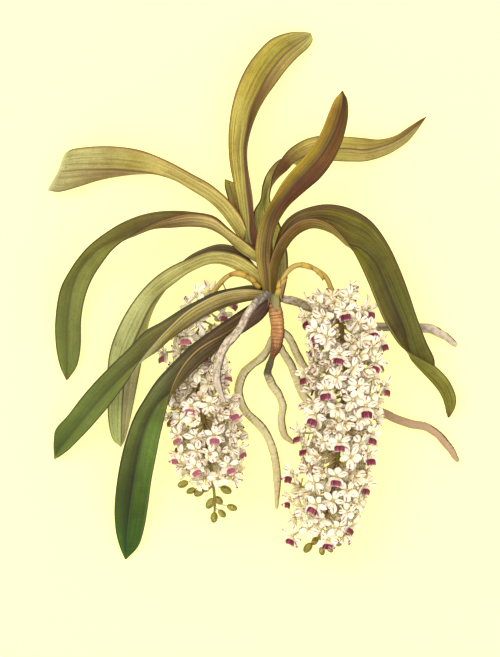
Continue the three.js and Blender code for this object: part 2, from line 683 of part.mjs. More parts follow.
function addRaceme(raceme) {
  const { side, stalk } = raceme;
  const name = `raceme_${side}`;
  const curves = curvesOf(stalk);
  addRod(`${name}_stalk`, "rachis", stalk, 0.05);

  let distance = distanceTo(curves.line, raceme.flowersFrom);
  raceme.reach.forEach((reach, k) => {
    const count = reach < 20 ? 6 : reach < 25 ? 7 : 8;
    const lowest = raceme.overRoots.includes(k) ? OVER_ROOT_Z : SURFACE_Z;
    const ring = ringOfFlowers(
      stalkFrame(curves, distance),
      Array(count).fill(reach),
      GOLDEN_ANGLE * k,
      flowerProfile,
      raceme.lean[k],
      lowest,
    );
    addPiece(`${name}_flowers_${twoDigits(k + 1)}`, "flower", ring, ring);
    distance += TIER_PITCH;
  });
  const left = curves.line.getLength() - distance - 3;
  raceme.buds.forEach((cluster, k) => {
    const at = distance + (left * k) / Math.max(1, raceme.buds.length - 0.5);
    const ring = ringOfFlowers(
      stalkFrame(curves, at),
      cluster.lengths,
      GOLDEN_ANGLE * (k + 0.4),
      budProfile,
      cluster.tilt,
      SURFACE_Z,
    );
    addPiece(`${name}_buds_${k + 1}`, "bud", ring, ring);
  });
}

// Small dry scales that wrap the bare part of a stalk
function addBract(name, stalk, distance, length) {
  const { centre, side, up, hole } = stalkFrame(curvesOf(stalk), distance);
  const stand = new THREE.Matrix4().makeBasis(side, up, side.clone().cross(up));
  stand.setPosition(centre);
  const ring = solidOf(geometryOf(collarSolid(hole, hole + 0.9, length)), stand);
  addPiece(name, "sheath", ring, ring);
}

// The whole plant
addRod("stem_ringed", "stem", stemStations, CLEARANCE);
for (const leaf of leaves) {
  addPiece(leaf.name, leaf.material, leafSolid(leaf, 0), leafSolid(leaf, CLEARANCE));
}
for (const root of roots) {
  addRod(root.name, "root", root.stations, CLEARANCE);
}
racemes.forEach(addRaceme);
addBract("bract_right_upper", racemes[0].stalk, 33, 6);
addBract("bract_right_lower", racemes[0].stalk, 47, 5);
addBract("bract_left", racemes[1].stalk, 15, 6);

export default part;
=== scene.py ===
# A foxtail orchid plant with bare roots and two flower racemes, laid on a pale surface and seen
# from straight above. Stations are in millimetres; make_piece turns them into metres.
import math
import random

import bpy
import numpy as np
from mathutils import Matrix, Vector
from mathutils.bvhtree import BVHTree


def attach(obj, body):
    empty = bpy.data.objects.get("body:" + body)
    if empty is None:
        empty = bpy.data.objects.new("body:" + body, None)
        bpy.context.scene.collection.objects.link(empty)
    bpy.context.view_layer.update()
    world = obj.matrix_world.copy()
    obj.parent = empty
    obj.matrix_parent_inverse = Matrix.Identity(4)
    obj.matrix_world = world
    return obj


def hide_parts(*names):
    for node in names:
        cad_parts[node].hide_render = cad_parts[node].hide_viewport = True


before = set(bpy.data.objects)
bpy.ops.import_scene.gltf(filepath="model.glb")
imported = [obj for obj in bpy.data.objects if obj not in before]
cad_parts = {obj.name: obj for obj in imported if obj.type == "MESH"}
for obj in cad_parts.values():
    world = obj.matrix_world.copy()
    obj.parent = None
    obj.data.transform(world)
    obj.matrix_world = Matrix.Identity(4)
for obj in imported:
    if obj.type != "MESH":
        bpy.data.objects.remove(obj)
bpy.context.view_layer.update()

MM = 0.001
MIDDLE = np.array([0.6, -0.2, 0.0])  # plan position of the plant's middle, moved to the origin
PHOTO_PIXEL = 0.75  # millimetres on the surface for each pixel of the photograph
PHOTO_CENTRE = (252.0, 295.4)  # the photograph's pixel at the stations' origin
PHOTO_SIZE = (500, 657)

UP = np.array([0.0, 0.0, 1.0])
rng = np.random.default_rng(47)
draw = random.Random(47)


# Camera
def add_camera():
    lens, sensor = 200.0, 36.0
    frame_height, plant_level = PHOTO_SIZE[1] * PHOTO_PIXEL, 28.0
    centre_x = (PHOTO_SIZE[0] / 2 - PHOTO_CENTRE[0]) * PHOTO_PIXEL - MIDDLE[0]
    centre_y = (PHOTO_CENTRE[1] - PHOTO_SIZE[1] / 2) * PHOTO_PIXEL - MIDDLE[1]
    data = bpy.data.cameras.new("camera_above")
    data.lens, data.sensor_width = lens, sensor
    data.clip_start, data.clip_end = 0.1, 20.0
    camera = bpy.data.objects.new("camera_above", data)
    bpy.context.scene.collection.objects.link(camera)
    height = plant_level + frame_height * lens / sensor
    camera.location = (centre_x * MM, centre_y * MM, height * MM)
    bpy.context.scene.camera = camera


add_camera()


# Small geometry helpers
def table(text, columns):
    """Numbers written as text, one station after another, as an array with this many columns."""
    return np.array(text.replace(",", " ").split(), float).reshape(-1, columns)


def unit(rows):
    length = np.linalg.norm(rows, axis=-1, keepdims=True)
    return rows / np.maximum(length, 1e-9)


def spline(stations, per_span):
    """Rows on a smooth curve through the stations."""
    p = np.asarray(stations, float)
    q = np.vstack([2 * p[:1] - p[1:2], p, 2 * p[-1:] - p[-2:-1]])
    t = np.linspace(0, 1, per_span, endpoint=False)[:, None]
    spans = []
    for a, b, c, d in zip(q, q[1:], q[2:], q[3:]):
        square, cube = 2 * a - 5 * b + 4 * c - d, 3 * b - a - 3 * c + d
        cubic = 2 * b + (c - a) * t + square * t**2 + cube * t**3
        spans.append(cubic / 2)
    return np.vstack([*spans, p[-1:]])


def travelled(path):
    steps = np.linalg.norm(np.diff(path, axis=0), axis=1)
    return np.concatenate([[0.0], np.cumsum(steps)])


def smooth(x, low, high):
    t = np.clip((np.asarray(x, float) - low) / (high - low), 0, 1)
    return t * t * (3 - 2 * t)


def wander(length, step, size):
    """A smooth random walk about zero, one value for each of `length` rows."""
    knots = rng.normal(0, size, max(4, int(length / step) + 3))
    return np.interp(np.arange(length) / step, np.arange(len(knots)), knots)


def skin_faces(rows, across):
    """Quads between rings of equal length, with a strip of quads over each end."""
    i, j = np.meshgrid(np.arange(rows - 1), np.arange(across), indexing="ij")
    k = (j + 1) % across
    corners = [i * across + j, i * across + k, (i + 1) * across + k, (i + 1) * across + j]
    sides = np.stack(corners, -1).reshape(-1, 4)
    j = np.arange(across // 2 - 1)
    first = np.stack([j, across - 1 - j, across - 2 - j, j + 1], -1)
    return np.vstack([sides, first, first[:, ::-1] + (rows - 1) * across])


def facing_out(points, faces):
    a, b, c, d = (points[faces[:, n]] for n in range(4))
    volume = (a * np.cross(b, c)).sum() + (a * np.cross(c, d)).sum()
    return faces if volume > 0 else faces[:, ::-1]


class Shape:
    """Closed skins gathered into one mesh, with four surface values for each point."""

    def __init__(self):
        self.points, self.marks, self.faces, self.slots = [], [], [], []
        self.count = 0

    def add(self, points, marks, faces, slots):
        self.points.append(points)
        self.marks.append(marks)
        self.faces.append(faces + self.count)
        self.slots.append(slots)
        self.count += len(points)

    def skin(self, rings, marks, slot=0):
        points = rings.reshape(-1, 3)
        faces = facing_out(points, skin_faces(*rings.shape[:2]))
        self.add(points, marks.reshape(-1, 4), faces, np.full(len(faces), slot))

    def arrays(self):
        parts = (self.points, self.marks, self.faces, self.slots)
        return tuple(np.concatenate(part) for part in parts)


def marks_of(*values):
    return np.stack(np.broadcast_arrays(*values), -1).astype(float)


def make_piece(name, shape, materials, node):
    """One Blender object in the plant's frame that stands for a CAD node."""
    points, marks, faces, slots = shape.arrays()
    mesh = bpy.data.meshes.new(name)
    mesh.from_pydata(((points - MIDDLE) * MM).tolist(), [], faces.tolist())
    for material in materials:
        mesh.materials.append(material)
    mesh.polygons.foreach_set("material_index", slots.astype(np.int32))
    mesh.polygons.foreach_set("use_smooth", np.ones(len(faces), bool))
    mark = mesh.color_attributes.new(name="mark", type="FLOAT_COLOR", domain="POINT")
    mark.data.foreach_set("color", marks.astype(np.float32).ravel())
    mesh.update()
    piece = bpy.data.objects.new(name, mesh)
    bpy.context.scene.collection.objects.link(piece)
    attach(piece, "root")
    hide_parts(node)


def sheet(middle, half_thickness, raise_upper=0.0, raise_under=0.0):
    """Rings of a thin closed sheet about a grid of points: one side's row, then the other's."""
    along = np.gradient(middle, axis=0)
    across = np.gradient(middle, axis=1)
    face = unit(np.cross(along, -across))
    plus = middle + face * (half_thickness + raise_upper)[..., None]
    minus = middle - face * (half_thickness + raise_under)[..., None]
    return np.concatenate([plus, minus[:, ::-1]], axis=1), face


def carried_frames(path):
    """Along, side and up at each point of a path, with no twist between neighbours."""
    along = unit(np.gradient(path, axis=0))
    side = np.cross(along[0], UP)
    if np.linalg.norm(side) < 0.1:
        side = np.array([1.0, 0.0, 0.0])
    sides = []
    for direction in along:
        side = unit(side - direction * np.dot(side, direction))
        sides.append(side)
    sides = np.array(sides)
    return along, sides, np.cross(sides, along)


def rounded_ends(path, radius, start, end, steps=5):
    """Adds shrinking rows beyond a path's ends, so that a tube ends in a dome."""
    angles = np.radians(np.linspace(0, 84, steps + 1)[1:])
    rows, sizes = [path], [radius]
    if end:
        out = unit(path[-1] - path[-2])
        rows.append(path[-1] + out * (end * radius[-1] * np.sin(angles))[:, None])
        sizes.append(radius[-1] * np.cos(angles))
    if start:
        out = unit(path[0] - path[1])
        rows.insert(0, (path[0] + out * (start * radius[0] * np.sin(angles))[:, None])[::-1])
        sizes.insert(0, (radius[0] * np.cos(angles))[::-1])
    return np.vstack(rows), np.concatenate(sizes)


def tube(path, radius, sides, bumps=0.0):
    """Rings round a path, with marks: round, along, distance in decimetres, none."""
    _, side, up = carried_frames(path)
    turn = 2 * math.pi * np.arange(sides) / sides
    size = np.repeat(radius[:, None], sides, axis=1) * (1 + bumps)
    around = side[:, None] * np.cos(turn)[None, :, None] + up[:, None] * np.sin(turn)[None, :, None]
    rings = path[:, None] + around * size[..., None]
    far = travelled(path)
    marks = marks_of(
        np.abs(2 * np.arange(sides) / sides - 1)[None, :],
        (far / far[-1])[:, None],
        (far / 100)[:, None],
        0.0,
    )
    return rings, marks


# Materials
UNDER_BRIGHT_LIGHT = 0.7  # every colour is darkened by this much, because the studio is bright


def paint(code):
    """A colour written as on a paint chart, as light values for the bright studio."""
    parts = [int(code[i : i + 2], 16) / 255 for i in (0, 2, 4)]
    light = [p / 12.92 if p <= 0.04045 else ((p + 0.055) / 1.055) ** 2.4 for p in parts]
    return tuple(UNDER_BRIGHT_LIGHT * value for value in light) + (1.0,)


class Look:
    """A material whose colour is built up in layers, with short calls that add nodes."""

    def __init__(self, name, roughness=0.5, specular=0.4):
        self.material = bpy.data.materials.new(f"finish_{name}")
        self.material.use_nodes = True
        self.tree = self.material.node_tree
        self.skin = self.tree.nodes["Principled BSDF"].inputs
        self.skin["Roughness"].default_value = roughness
        self.skin["Specular IOR Level"].default_value = specular
        mark = self.put("ShaderNodeAttribute", attribute_name="mark")
        split = self.put("ShaderNodeSeparateColor", {0: mark.outputs["Color"]})
        self.first, self.second, self.third = split.outputs[:3]
        self.fourth = mark.outputs["Alpha"]
        self.place = self.put("ShaderNodeTexCoord").outputs["Object"]

    def put(self, kind, inputs=None, **settings):
        node = self.tree.nodes.new(kind)
        for key, value in settings.items():
            setattr(node, key, value)
        for key, value in (inputs or {}).items():
            if isinstance(value, bpy.types.NodeSocket):
                self.tree.links.new(value, node.inputs[key])
            else:
                node.inputs[key].default_value = paint(value) if isinstance(value, str) else value
        return node

    def maths(self, operation, *values):
        return self.put("ShaderNodeMath", dict(enumerate(values)), operation=operation).outputs[0]

    def times(self, value, factor):
        return self.maths("MULTIPLY", value, factor)

    def across(self):
        """The first mark, as -1 at one margin to 1 at the other."""
        return self.maths("MULTIPLY_ADD", self.first, 2.0, -1.0)

    def between(self, value, low, high, to_low=0.0, to_high=1.0):
        """Eases from to_low to to_high as a value goes from low to high."""
        inputs = {"Value": value, "From Min": low, "From Max": high, "To Min": to_low, "To Max": to_high}
        return self.put("ShaderNodeMapRange", inputs, interpolation_type="SMOOTHSTEP").outputs[0]

    def ramp(self, text):
        """Colours along the piece, from text such as "0:aabbcc 40:b8c69e", at hundredths of the way."""
        node = self.put("ShaderNodeValToRGB", {0: self.second})
        stops = [entry.split(":") for entry in text.split()]
        elements = node.color_ramp.elements
        while len(elements) < len(stops):
            elements.new(0.5)
        for element, (position, code) in zip(elements, stops):
            element.position = int(position) / 100
            element.color = paint(code)
        return node.outputs[0]

    def mix(self, share, first, second, how="MIX"):
        inputs = {0: share, 6: first, 7: second}
        return self.put("ShaderNodeMix", inputs, data_type="RGBA", blend_type=how).outputs[2]

    def cover(self, share, colour, how="MIX"):
        """Lays a colour over what is there."""
        self.base = self.mix(share, self.base, colour, how)

    def layer(self, value, low, high, share, colour, how="MIX"):
        """Lays a colour over what is there, where a value eases from low to high."""
        self.cover(self.between(value, low, high, 0.0, share), colour, how)

    def noise(self, scale, detail=2.0, roughness=0.5, vector=None):
        vector = self.place if vector is None else vector
        inputs = {"Vector": vector, "Scale": scale, "Detail": detail, "Roughness": roughness}
        return self.put("ShaderNodeTexNoise", inputs).outputs["Fac"]

    def strands(self, *stretched, **how):
        """Noise drawn out along the marks, each given with the number it is stretched by."""
        axes = {axis: self.times(mark, size) for axis, (mark, size) in enumerate(stretched)}
        return self.noise(1.0, vector=self.put("ShaderNodeCombineXYZ", axes).outputs[0], **how)

    def finish(self, height, strength, distance, gloss=None):
        bump = self.put("ShaderNodeBump", {"Height": height, "Strength": strength, "Distance": distance})
        self.tree.links.new(self.base, self.skin["Base Color"])
        self.tree.links.new(bump.outputs[0], self.skin["Normal"])
        if gloss is not None:
            self.tree.links.new(gloss, self.skin["Roughness"])
        return self.material


# Factors that a leaf's colours are multiplied by
GLOW, PATCH = (1.32, 1.3, 1.22, 1.0), (0.74, 0.7, 0.6, 1.0)
LINE, BAND = (0.42, 0.34, 0.24, 1.0), (0.62, 0.55, 0.42, 1.0)


def leaf_look(name, colours):
    """Marks on a leaf: first across, from far to near margin; second along; third its upper face."""
    look = Look(name, specular=0.16)
    across = look.across()
    from_keel = look.maths("ABSOLUTE", across)
    near = look.between(across, -0.05, 0.05)

    def joined(upper_near, upper_far, under_near, under_far):
        under, upper = look.mix(near, under_far, under_near), look.mix(near, upper_far, upper_near)
        return look.mix(look.third, under, upper)

    faces = ("upper_near", "upper_far", "under_near", "under_far")
    # The face colours carry painted light and shade along with the leaf's own colour
    look.base = joined(*[look.ramp(colours[face]) for face in faces])

    # Lengthwise striations, stronger towards the base and underneath, and broad soft patches
    coarse = look.strands((across, 8.0), (look.second, 2.0), (look.third, 1.0), roughness=0.6)
    fine = look.strands((across, 30.0), (look.second, 4.0), (look.third, 1.0), detail=3.0, roughness=0.65)
    patch = look.noise(38.0, detail=3.0, roughness=0.6)
    speckle = look.noise(900.0)
    lined = colours["lined"]
    depth = look.between(look.second, 0.0, 0.75, min(1.0, lined + 0.3), lined * 0.5)
    underside = look.maths("SUBTRACT", 1.0, look.third)
    depth = look.maths("MINIMUM", look.maths("MULTIPLY_ADD", underside, 0.32, depth), 1.0)
    for strands, low, high, factor in (
        (fine, 0.46, 0.62, LINE),
        (coarse, 0.47, 0.62, BAND),
        (coarse, 0.47, 0.3, GLOW),
    ):
        look.cover(look.times(look.between(strands, low, high), depth), factor, "MULTIPLY")
    look.layer(patch, 0.48, 0.7, 0.8, PATCH, "MULTIPLY")
    look.layer(patch, 0.46, 0.28, 0.7, GLOW, "MULTIPLY")
    look.layer(speckle, 0.4, 0.66, 0.6, PATCH, "MULTIPLY")

    # Painted shade in the fold, then the midrib and the thin coloured margins
    fold_shade = joined(*[(share, share**1.15, share**1.3, 1.0) for share in colours["folds"]])
    look.layer(from_keel, 0.8, 0.0, 1.0, fold_shade, "MULTIPLY")
    look.layer(from_keel, 0.085, 0.015, 0.85, look.ramp(colours["rib"]))
    edge = look.mix(near, look.ramp(colours["far_edge"]), look.ramp(colours["near_edge"]))
    rim = look.maths("ADD", from_keel, look.maths("MULTIPLY_ADD", patch, 0.05, -0.025))
    look.layer(rim, 0.86, 0.94, 0.9, edge)
    look.layer(rim, 0.95, 0.985, 0.85, "3c2814")

    # Dry flecks and a worn tip
    look.layer(look.noise(420.0, detail=1.0), 0.73, 0.79, 0.55, "5a3a1c")
    look.layer(look.second, 0.955, 1.0, 0.75, colours["tip"])
    height = look.maths("ADD", look.times(fine, 0.7), look.times(speckle, 0.25))
    return look.finish(height, 0.35, 0.0005, look.between(patch, 0.3, 0.7, 0.42, 0.58))


def root_look(name, pale, grey, dark, warm, warm_from=0.65, warm_share=0.5):
    """Velamen: chalky and cracked across, with painted shade on the side turned away from the light and a
    darker stretch near the stem on some roots.
    """
    look = Look(name, roughness=0.9, specular=0.1)
    patches = look.strands((look.first, 4.2), (look.third, 16.8), detail=4.0, roughness=0.65)
    bands = look.strands((look.first, 0.9), (look.third, 60.0), detail=3.0, roughness=0.7)
    cracks = look.strands((look.first, 16.0), (look.third, 22.0), detail=3.0, roughness=0.7)
    grain = look.noise(1500.0, detail=3.0)
    look.base = look.mix(look.between(patches, 0.4, 0.62), pale, grey)
    look.layer(bands, 0.58, 0.66, 0.44, dark)
    look.layer(cracks, 0.6, 0.72, 0.36, dark)
    look.layer(look.second, warm_from, warm_from + 0.25, warm_share, warm)
    look.layer(grain, 0.45, 0.7, 0.24, dark)
    # Painted shade on the side away from the light, and the darker stretch near the stem, both carried by
    # the fourth mark
    ragged = look.maths("MULTIPLY_ADD", cracks, 0.9, look.maths("MULTIPLY_ADD", bands, 1.3, -1.1))
    shade_and_dark_start = look.between(look.maths("ADD", look.fourth, ragged), 0.2, 0.85, 0.0, 0.9)
    look.cover(look.times(shade_and_dark_start, look.between(look.fourth, 0.02, 0.3)), dark)
    return look.finish(look.maths("MULTIPLY_ADD", grain, 0.4, cracks), 0.6, 0.0006)


def stem_look():
    look = Look("stem", roughness=0.75, specular=0.15)
    fibre = look.strands((look.first, 22.0), (look.third, 10.0), detail=3.0)
    look.base = look.ramp("0:4a2a1a 10:7c4a2c 26:dca060 50:dea45e 80:a8884a 100:a08a48")
    look.layer(look.noise(260.0, detail=3.0, roughness=0.65), 0.45, 0.66, 0.6, "a86a34")
    look.layer(fibre, 0.45, 0.7, 0.5, "ecbc80")
    # Dark in the rings left by old leaves, and painted shade on the side turned away from the light
    look.cover(look.fourth, "4a2815")
    return look.finish(fibre, 0.5, 0.0005)


def sheath_look():
    look = Look("sheath", roughness=0.6, specular=0.3)
    fibre = look.strands((look.first, 24.0), (look.second, 1.5), detail=3.0)
    look.base = look.ramp("0:9c9a50 50:b0aa62 85:b8a468 100:8a6238")
    look.layer(fibre, 0.42, 0.66, 0.6, "6f6a34")
    look.layer(look.maths("ABSOLUTE", look.across()), 0.8, 1.0, 0.7, "6a4a24")
    return look.finish(fibre, 0.5, 0.0004)


def scale_look():
    look = Look("scale", roughness=0.6, specular=0.3)
    fibre = look.strands((look.first, 26.0), (look.second, 1.6), detail=3.0)
    look.base = look.ramp("0:c8a83e 45:dab648 80:c48a38 100:6e3f20")
    look.layer(fibre, 0.4, 0.68, 0.6, "8a6222")
    look.layer(look.maths("ABSOLUTE", look.across()), 0.75, 0.98, 0.7, "7a4a24")
    return look.finish(fibre, 0.5, 0.0003)


def stalk_look():
    look = Look("stalk", roughness=0.5, specular=0.35)
    fibre = look.strands((look.first, 9.0), (look.third, 8.0), detail=3.0)
    look.base = look.ramp("0:c8a844 20:d2b650 35:a89c3e 100:8f963a")
    look.layer(fibre, 0.42, 0.66, 0.75, "7a641e")
    look.layer(look.noise(300.0, detail=3.0), 0.52, 0.72, 0.5, "dcae74")
    # Painted shade on the stalk's flanks
    look.cover(look.fourth, "54401c")
    return look.finish(fibre, 0.4, 0.0003)


def tepal_look():
    """Marks on a tepal: first across, second from base to tip, third a number of its own."""
    look = Look("tepal", roughness=0.6, specular=0.15)
    look.skin["Subsurface Weight"].default_value = 0.45
    look.skin["Subsurface Radius"].default_value = (0.0022, 0.0019, 0.0014)
    look.skin["Subsurface Scale"].default_value = 1.0
    across = look.across()
    out = look.maths("ABSOLUTE", across)
    veins = look.strands((across, 5.0), (look.second, 0.9), (look.third, 40.0))
    look.base = look.ramp("0:b5ab66 14:ece2a8 36:fff6cc 80:fff8d6 100:f6dec4")
    look.layer(look.noise(300.0), 0.42, 0.7, 0.55, "f4d9b6")
    look.layer(veins, 0.54, 0.68, 0.5, "b0947c")
    reach = look.times(look.between(look.second, 0.3, 0.62), look.between(look.third, 0.3, 0.36))
    look.cover(look.times(look.between(out, 0.06, 0.3, 0.9, 0.0), reach), "763a4a")
    look.layer(out, 0.8, 0.94, 0.7, "8c7868")
    look.cover(1.0, (1.3, 1.28, 1.24, 1.0), "MULTIPLY")
    tip = look.between(look.second, 0.8, 0.92, 0.0, 0.95)
    look.cover(look.times(look.between(look.third, 0.62, 0.68), tip), "7e2644")
    return look.finish(veins, 0.25, 0.0002)


def lip_look():
    """Crimson-purple blade with darker streaks, a pale claw and a thin pale end."""
    look = Look("lip", roughness=0.5, specular=0.2)
    across = look.across()
    streaks = look.strands((across, 6.0), (look.second, 0.7), (look.third, 40.0), detail=1.0)
    look.base = look.ramp("0:efe3b0 28:e6cfae 36:5e1424 60:842438 84:a2404e 93:d9a69c 100:f6e6c0")
    body = look.between(look.second, 0.3, 0.4)
    look.cover(look.times(look.between(streaks, 0.48, 0.58, 0.0, 0.85), body), "4a101e")
    look.cover(look.times(look.between(streaks, 0.42, 0.3, 0.0, 0.6), body), "bc6a72")
    look.layer(look.maths("ABSOLUTE", across), 0.93, 1.0, 0.5, "e6c4b0")
    look.cover(look.fourth, "de8288")
    return look.finish(streaks, 0.3, 0.0002)


def column_look():
    look = Look("column", roughness=0.5, specular=0.2)
    cloud = look.noise(700.0)
    look.base = look.ramp("0:d9cf92 55:f5e9c0 85:e0b49c 100:8c3a58")
    look.layer(cloud, 0.45, 0.7, 0.4, "b9884c")
    return look.finish(cloud, 0.2, 0.0002)


def pedicel_look():
    look = Look("pedicel", roughness=0.6, specular=0.15)
    ribs = look.strands((look.first, 7.0), (look.second, 1.2))
    look.base = look.ramp("0:c07a44 16:d8b880 40:ecdfae 100:f8eec4")
    look.layer(ribs, 0.45, 0.66, 0.6, "8a6a4c")
    return look.finish(ribs, 0.4, 0.0002)


def bud_look():
    look = Look("bud", roughness=0.5, specular=0.35)
    ribs = look.maths("ABSOLUTE", look.maths("SINE", look.times(look.first, 9.42)))
    look.base = look.ramp("0:98782c 30:a89a34 75:867e24 100:6a4a20")
    look.layer(ribs, 0.4, 0.0, 0.85, "4a4216")
    look.layer(look.noise(500.0), 0.5, 0.7, 0.5, "dccc74")
    return look.finish(ribs, 0.4, 0.0003)


def floor_look():
    """A pale table that glows a little, so that the plant casts only faint shadows."""
    look = Look("floor", roughness=0.9, specular=0.05)
    look.skin["Emission Color"].default_value = (1.0, 0.98, 0.4, 1.0)
    look.skin["Emission Strength"].default_value = 0.8
    grain = look.noise(900.0, detail=3.0)
    look.base = look.mix(look.between(grain, 0.3, 0.7), (0.5, 0.48, 0.185, 1.0), (0.49, 0.47, 0.175, 1.0))
    return look.finish(grain, 0.03, 0.0003)


# Leaves: each station is near margin, keel and far margin, on the middle of the blade's thickness.
# Colours run from base to tip, for the near and far half of the upper and the under face. Besides each
# leaf's own colour they hold painted light and shade: a half turned away from the light is painted
# darker, and stretches that lie in the shade of other leaves are painted paler. The folds are how much
# light is left in the fold on those four, and lined is how striped the leaf is.
HALF_COLUMNS = [1.0, 0.96, 0.88, 0.75, 0.6, 0.44, 0.3, 0.18, 0.08]
COLUMNS = np.array(HALF_COLUMNS + [0.0] + [-w for w in reversed(HALF_COLUMNS)])
KEEL_ROUNDING = 0.13
BLADE_HALF, EDGE_HALF = 0.85, 0.34  # half the blade's thickness, and at its margins
BELLY = 0.035  # how far each half bows out, as a share of its width
RIDGE_WIDTH, RIDGE_HEIGHT, RIDGE_HOLLOW = 0.09, 0.4, -0.25  # the midrib: below, and above
RIPPLE, HEAVE = 0.22, 0.6  # how far margins wander, and the share of it for the whole blade
LEAST_HEIGHT = 0.05  # over the surface
obstacles = []  # (points, faces) of what the flowers keep clear of


def keep_up(points):
    points[..., 2] = np.maximum(points[..., 2], LEAST_HEIGHT)


def blade(stations, upper):
    """A leaf's closed skin, and marks: across, along and upper side."""
    rails = spline(table(stations, 9), 8).reshape(-1, 3, 3)
    near, keel, far = rails[:, 0], rails[:, 1], rails[:, 2]
    w = COLUMNS
    soft = np.sqrt(w * w + KEEL_ROUNDING**2)
    middle = (
        keel[:, None]
        + ((w + soft) / 2)[None, :, None] * (near - keel)[:, None]
        + ((soft - w) / 2)[None, :, None] * (far - keel)[:, None]
    )
    _, face = sheet(middle, np.ones(middle.shape[:2]))
    near_width, far_width = (np.linalg.norm(side - keel, axis=1)[:, None] for side in (near, far))
    belly = -upper * BELLY * np.where(w > 0, near_width, far_width) * (1 - (2 * np.abs(w) - 1) ** 2)
    ripple_near, ripple_far, heave = (wander(len(rails), 7, RIPPLE)[:, None] for _ in range(3))
    ripple = np.where(w > 0, ripple_near, ripple_far) * w**2
    middle = middle + face * (belly + ripple + HEAVE * heave)[..., None]

    remaining = travelled(keel[::-1])[::-1]
    thin = np.clip(0.3 + remaining / 7, 0, 1)[:, None]
    half = (BLADE_HALF + (EDGE_HALF - BLADE_HALF) * smooth(np.abs(w), 0.6, 1.0)) * thin
    ridge = np.exp(-((w / RIDGE_WIDTH) ** 2)) * thin
    rings, _ = sheet(middle, half, *[ridge * size for size in (RIDGE_HOLLOW, RIDGE_HEIGHT)[::upper]])
    keep_up(rings)
    both = (np.concatenate([w, w[::-1]]) + 1) / 2
    is_upper = np.repeat([1.0, 0.0][::upper], len(w))
    return rings, marks_of(both, np.linspace(0, 1, len(rails))[:, None], is_upper, 0.0)


def add_leaf(name, slot, upper, stations, lined=0.6, **colours):
    """The upper face is towards the light where upper is 1, and away from it where it is -1."""
    shape = Shape()
    shape.skin(*blade(stations, upper))
    points, _, faces, _ = shape.arrays()
    obstacles.append((points, faces))
    look = leaf_look(f"leaf_{name}", {"lined": lined, **colours})
    make_piece(f"blade_{name}", shape, [look], f"leaf_{name}")


add_leaf(
    "right_arching",
    "leaf_green",
    -1,
    """
    11 3 36.5, 17.5 1 30, 12.5 5.5 23.5
    12.5 20.5 38.5, 20 19 31, 14 23.5 24.5
    17 34.5 41, 25 33 34, 17 36 28
    24.5 46.5 43, 32.5 43 36, 22 51 33.5
    35 55 44.5, 40 48 37, 30.5 60.5 34.5
    47 57 46, 48.5 49.5 37.5, 43 66 35.5
    59 52 47, 60.5 45 38, 58 68 36
    70 40.5 47, 71.5 36 37, 74.5 64.5 35
    78.5 27 44, 80.5 34 35, 89.5 55 36.5
    86 12 35, 92 25 32, 101.5 39 33.5
    92.5 -3.5 31.5, 100 8.5 29, 110.5 20.5 30.5
    99.5 -19.5 28.5, 107.5 -9 26, 117.5 2.5 27.5
    107 -32 28.5, 113.5 -23 23, 124 -16.5 24
    114.5 -40.5 31.5, 116.5 -39 20.5, 131 -34.5 19.5
    126.5 -47 28.5, 119.5 -48.5 18.5, 137 -47 16.5
    139 -54.5 20, 127 -57 16, 138.5 -56 13
    148 -63.5 16.5, 136 -66 13.5, 145 -65 8.5
    153.5 -75 13, 142 -73.5 11, 149 -75 6
    153.5 -84 9, 146 -82.5 8, 149.5 -83 3.5
    149.5 -92 3, 148.5 -92 3, 148.5 -92.5 2
    """,
    upper_near="0:906a2b 30:a3762f 42:83821f 62:504412 100:b3952d",
    upper_far="0:796015 26:6e5a12 38:726a16 60:66661b 100:888521",
    under_near="0:86702b 20:7b5e1f 38:c4b459 60:a69542 75:919434 100:93902d",
    under_far="0:695028 25:8a6a30 40:8a7034 70:86802b 100:8a8234",
    near_edge="0:96622a 35:a8803c 60:8f8440 100:6f5a28",
    far_edge="0:7a5226 40:5d4c20 100:6b5526",
    rib="0:45301a 100:3f3a18",
    folds=(0.72, 0.9, 0.8, 0.8),
    tip="6a4420",
    lined=1.0,
)
add_leaf(
    "front_spear",
    "leaf_olive",
    -1,
    """
    8.5 2.5 32, 12.5 1 38, 14.5 2.5 30.5
    5.5 15 35, 11 16.5 41, 14.5 16.5 33
    3 28.5 37, 10 28.5 43, 14.5 28.5 34.5
    3.5 41.5 38.5, 11 42 44.5, 15.5 42 35.5
    7 55.5 39, 14 55 46, 19 54 37.5
    14 69 39.5, 20 67.5 47, 26.5 65.5 39.5
    23.5 85 42, 31 81 48, 38 76.5 41.5
    35 98.5 43.5, 42.5 93 48.5, 51.5 88 45.5
    45.5 110.5 44, 52 104.5 48.5, 61 101.5 43.5
    52.5 123 43.5, 60.5 118.5 48, 68 118 41.5
    57.5 136.5 46, 66 134.5 47.5, 71.5 133.5 41.5
    61.5 145.5 44.5, 67.5 144.5 46, 71 145 41.5
    66.5 151 42, 67.5 152.5 42.5, 68 151 42
    """,
    upper_near="0:7a6a31 100:7a642c",
    upper_far="0:7a6a31 100:7a642c",
    under_near="0:bfa54f 25:b3a049 40:a28827 60:a48b11 85:9a770d 100:dcc143",
    under_far="0:c4a656 20:b79d52 45:71441f 75:744f0f 100:340d0d",
    near_edge="0:b27a3c 50:c09a48 100:a8803c",
    far_edge="0:8a5a30 50:5c3a26 100:4a2a1c",
    rib="0:4a2c20 60:54341a 100:40220f",
    folds=(1, 1, 0.38, 0.88),
    tip="3c1f10",
)
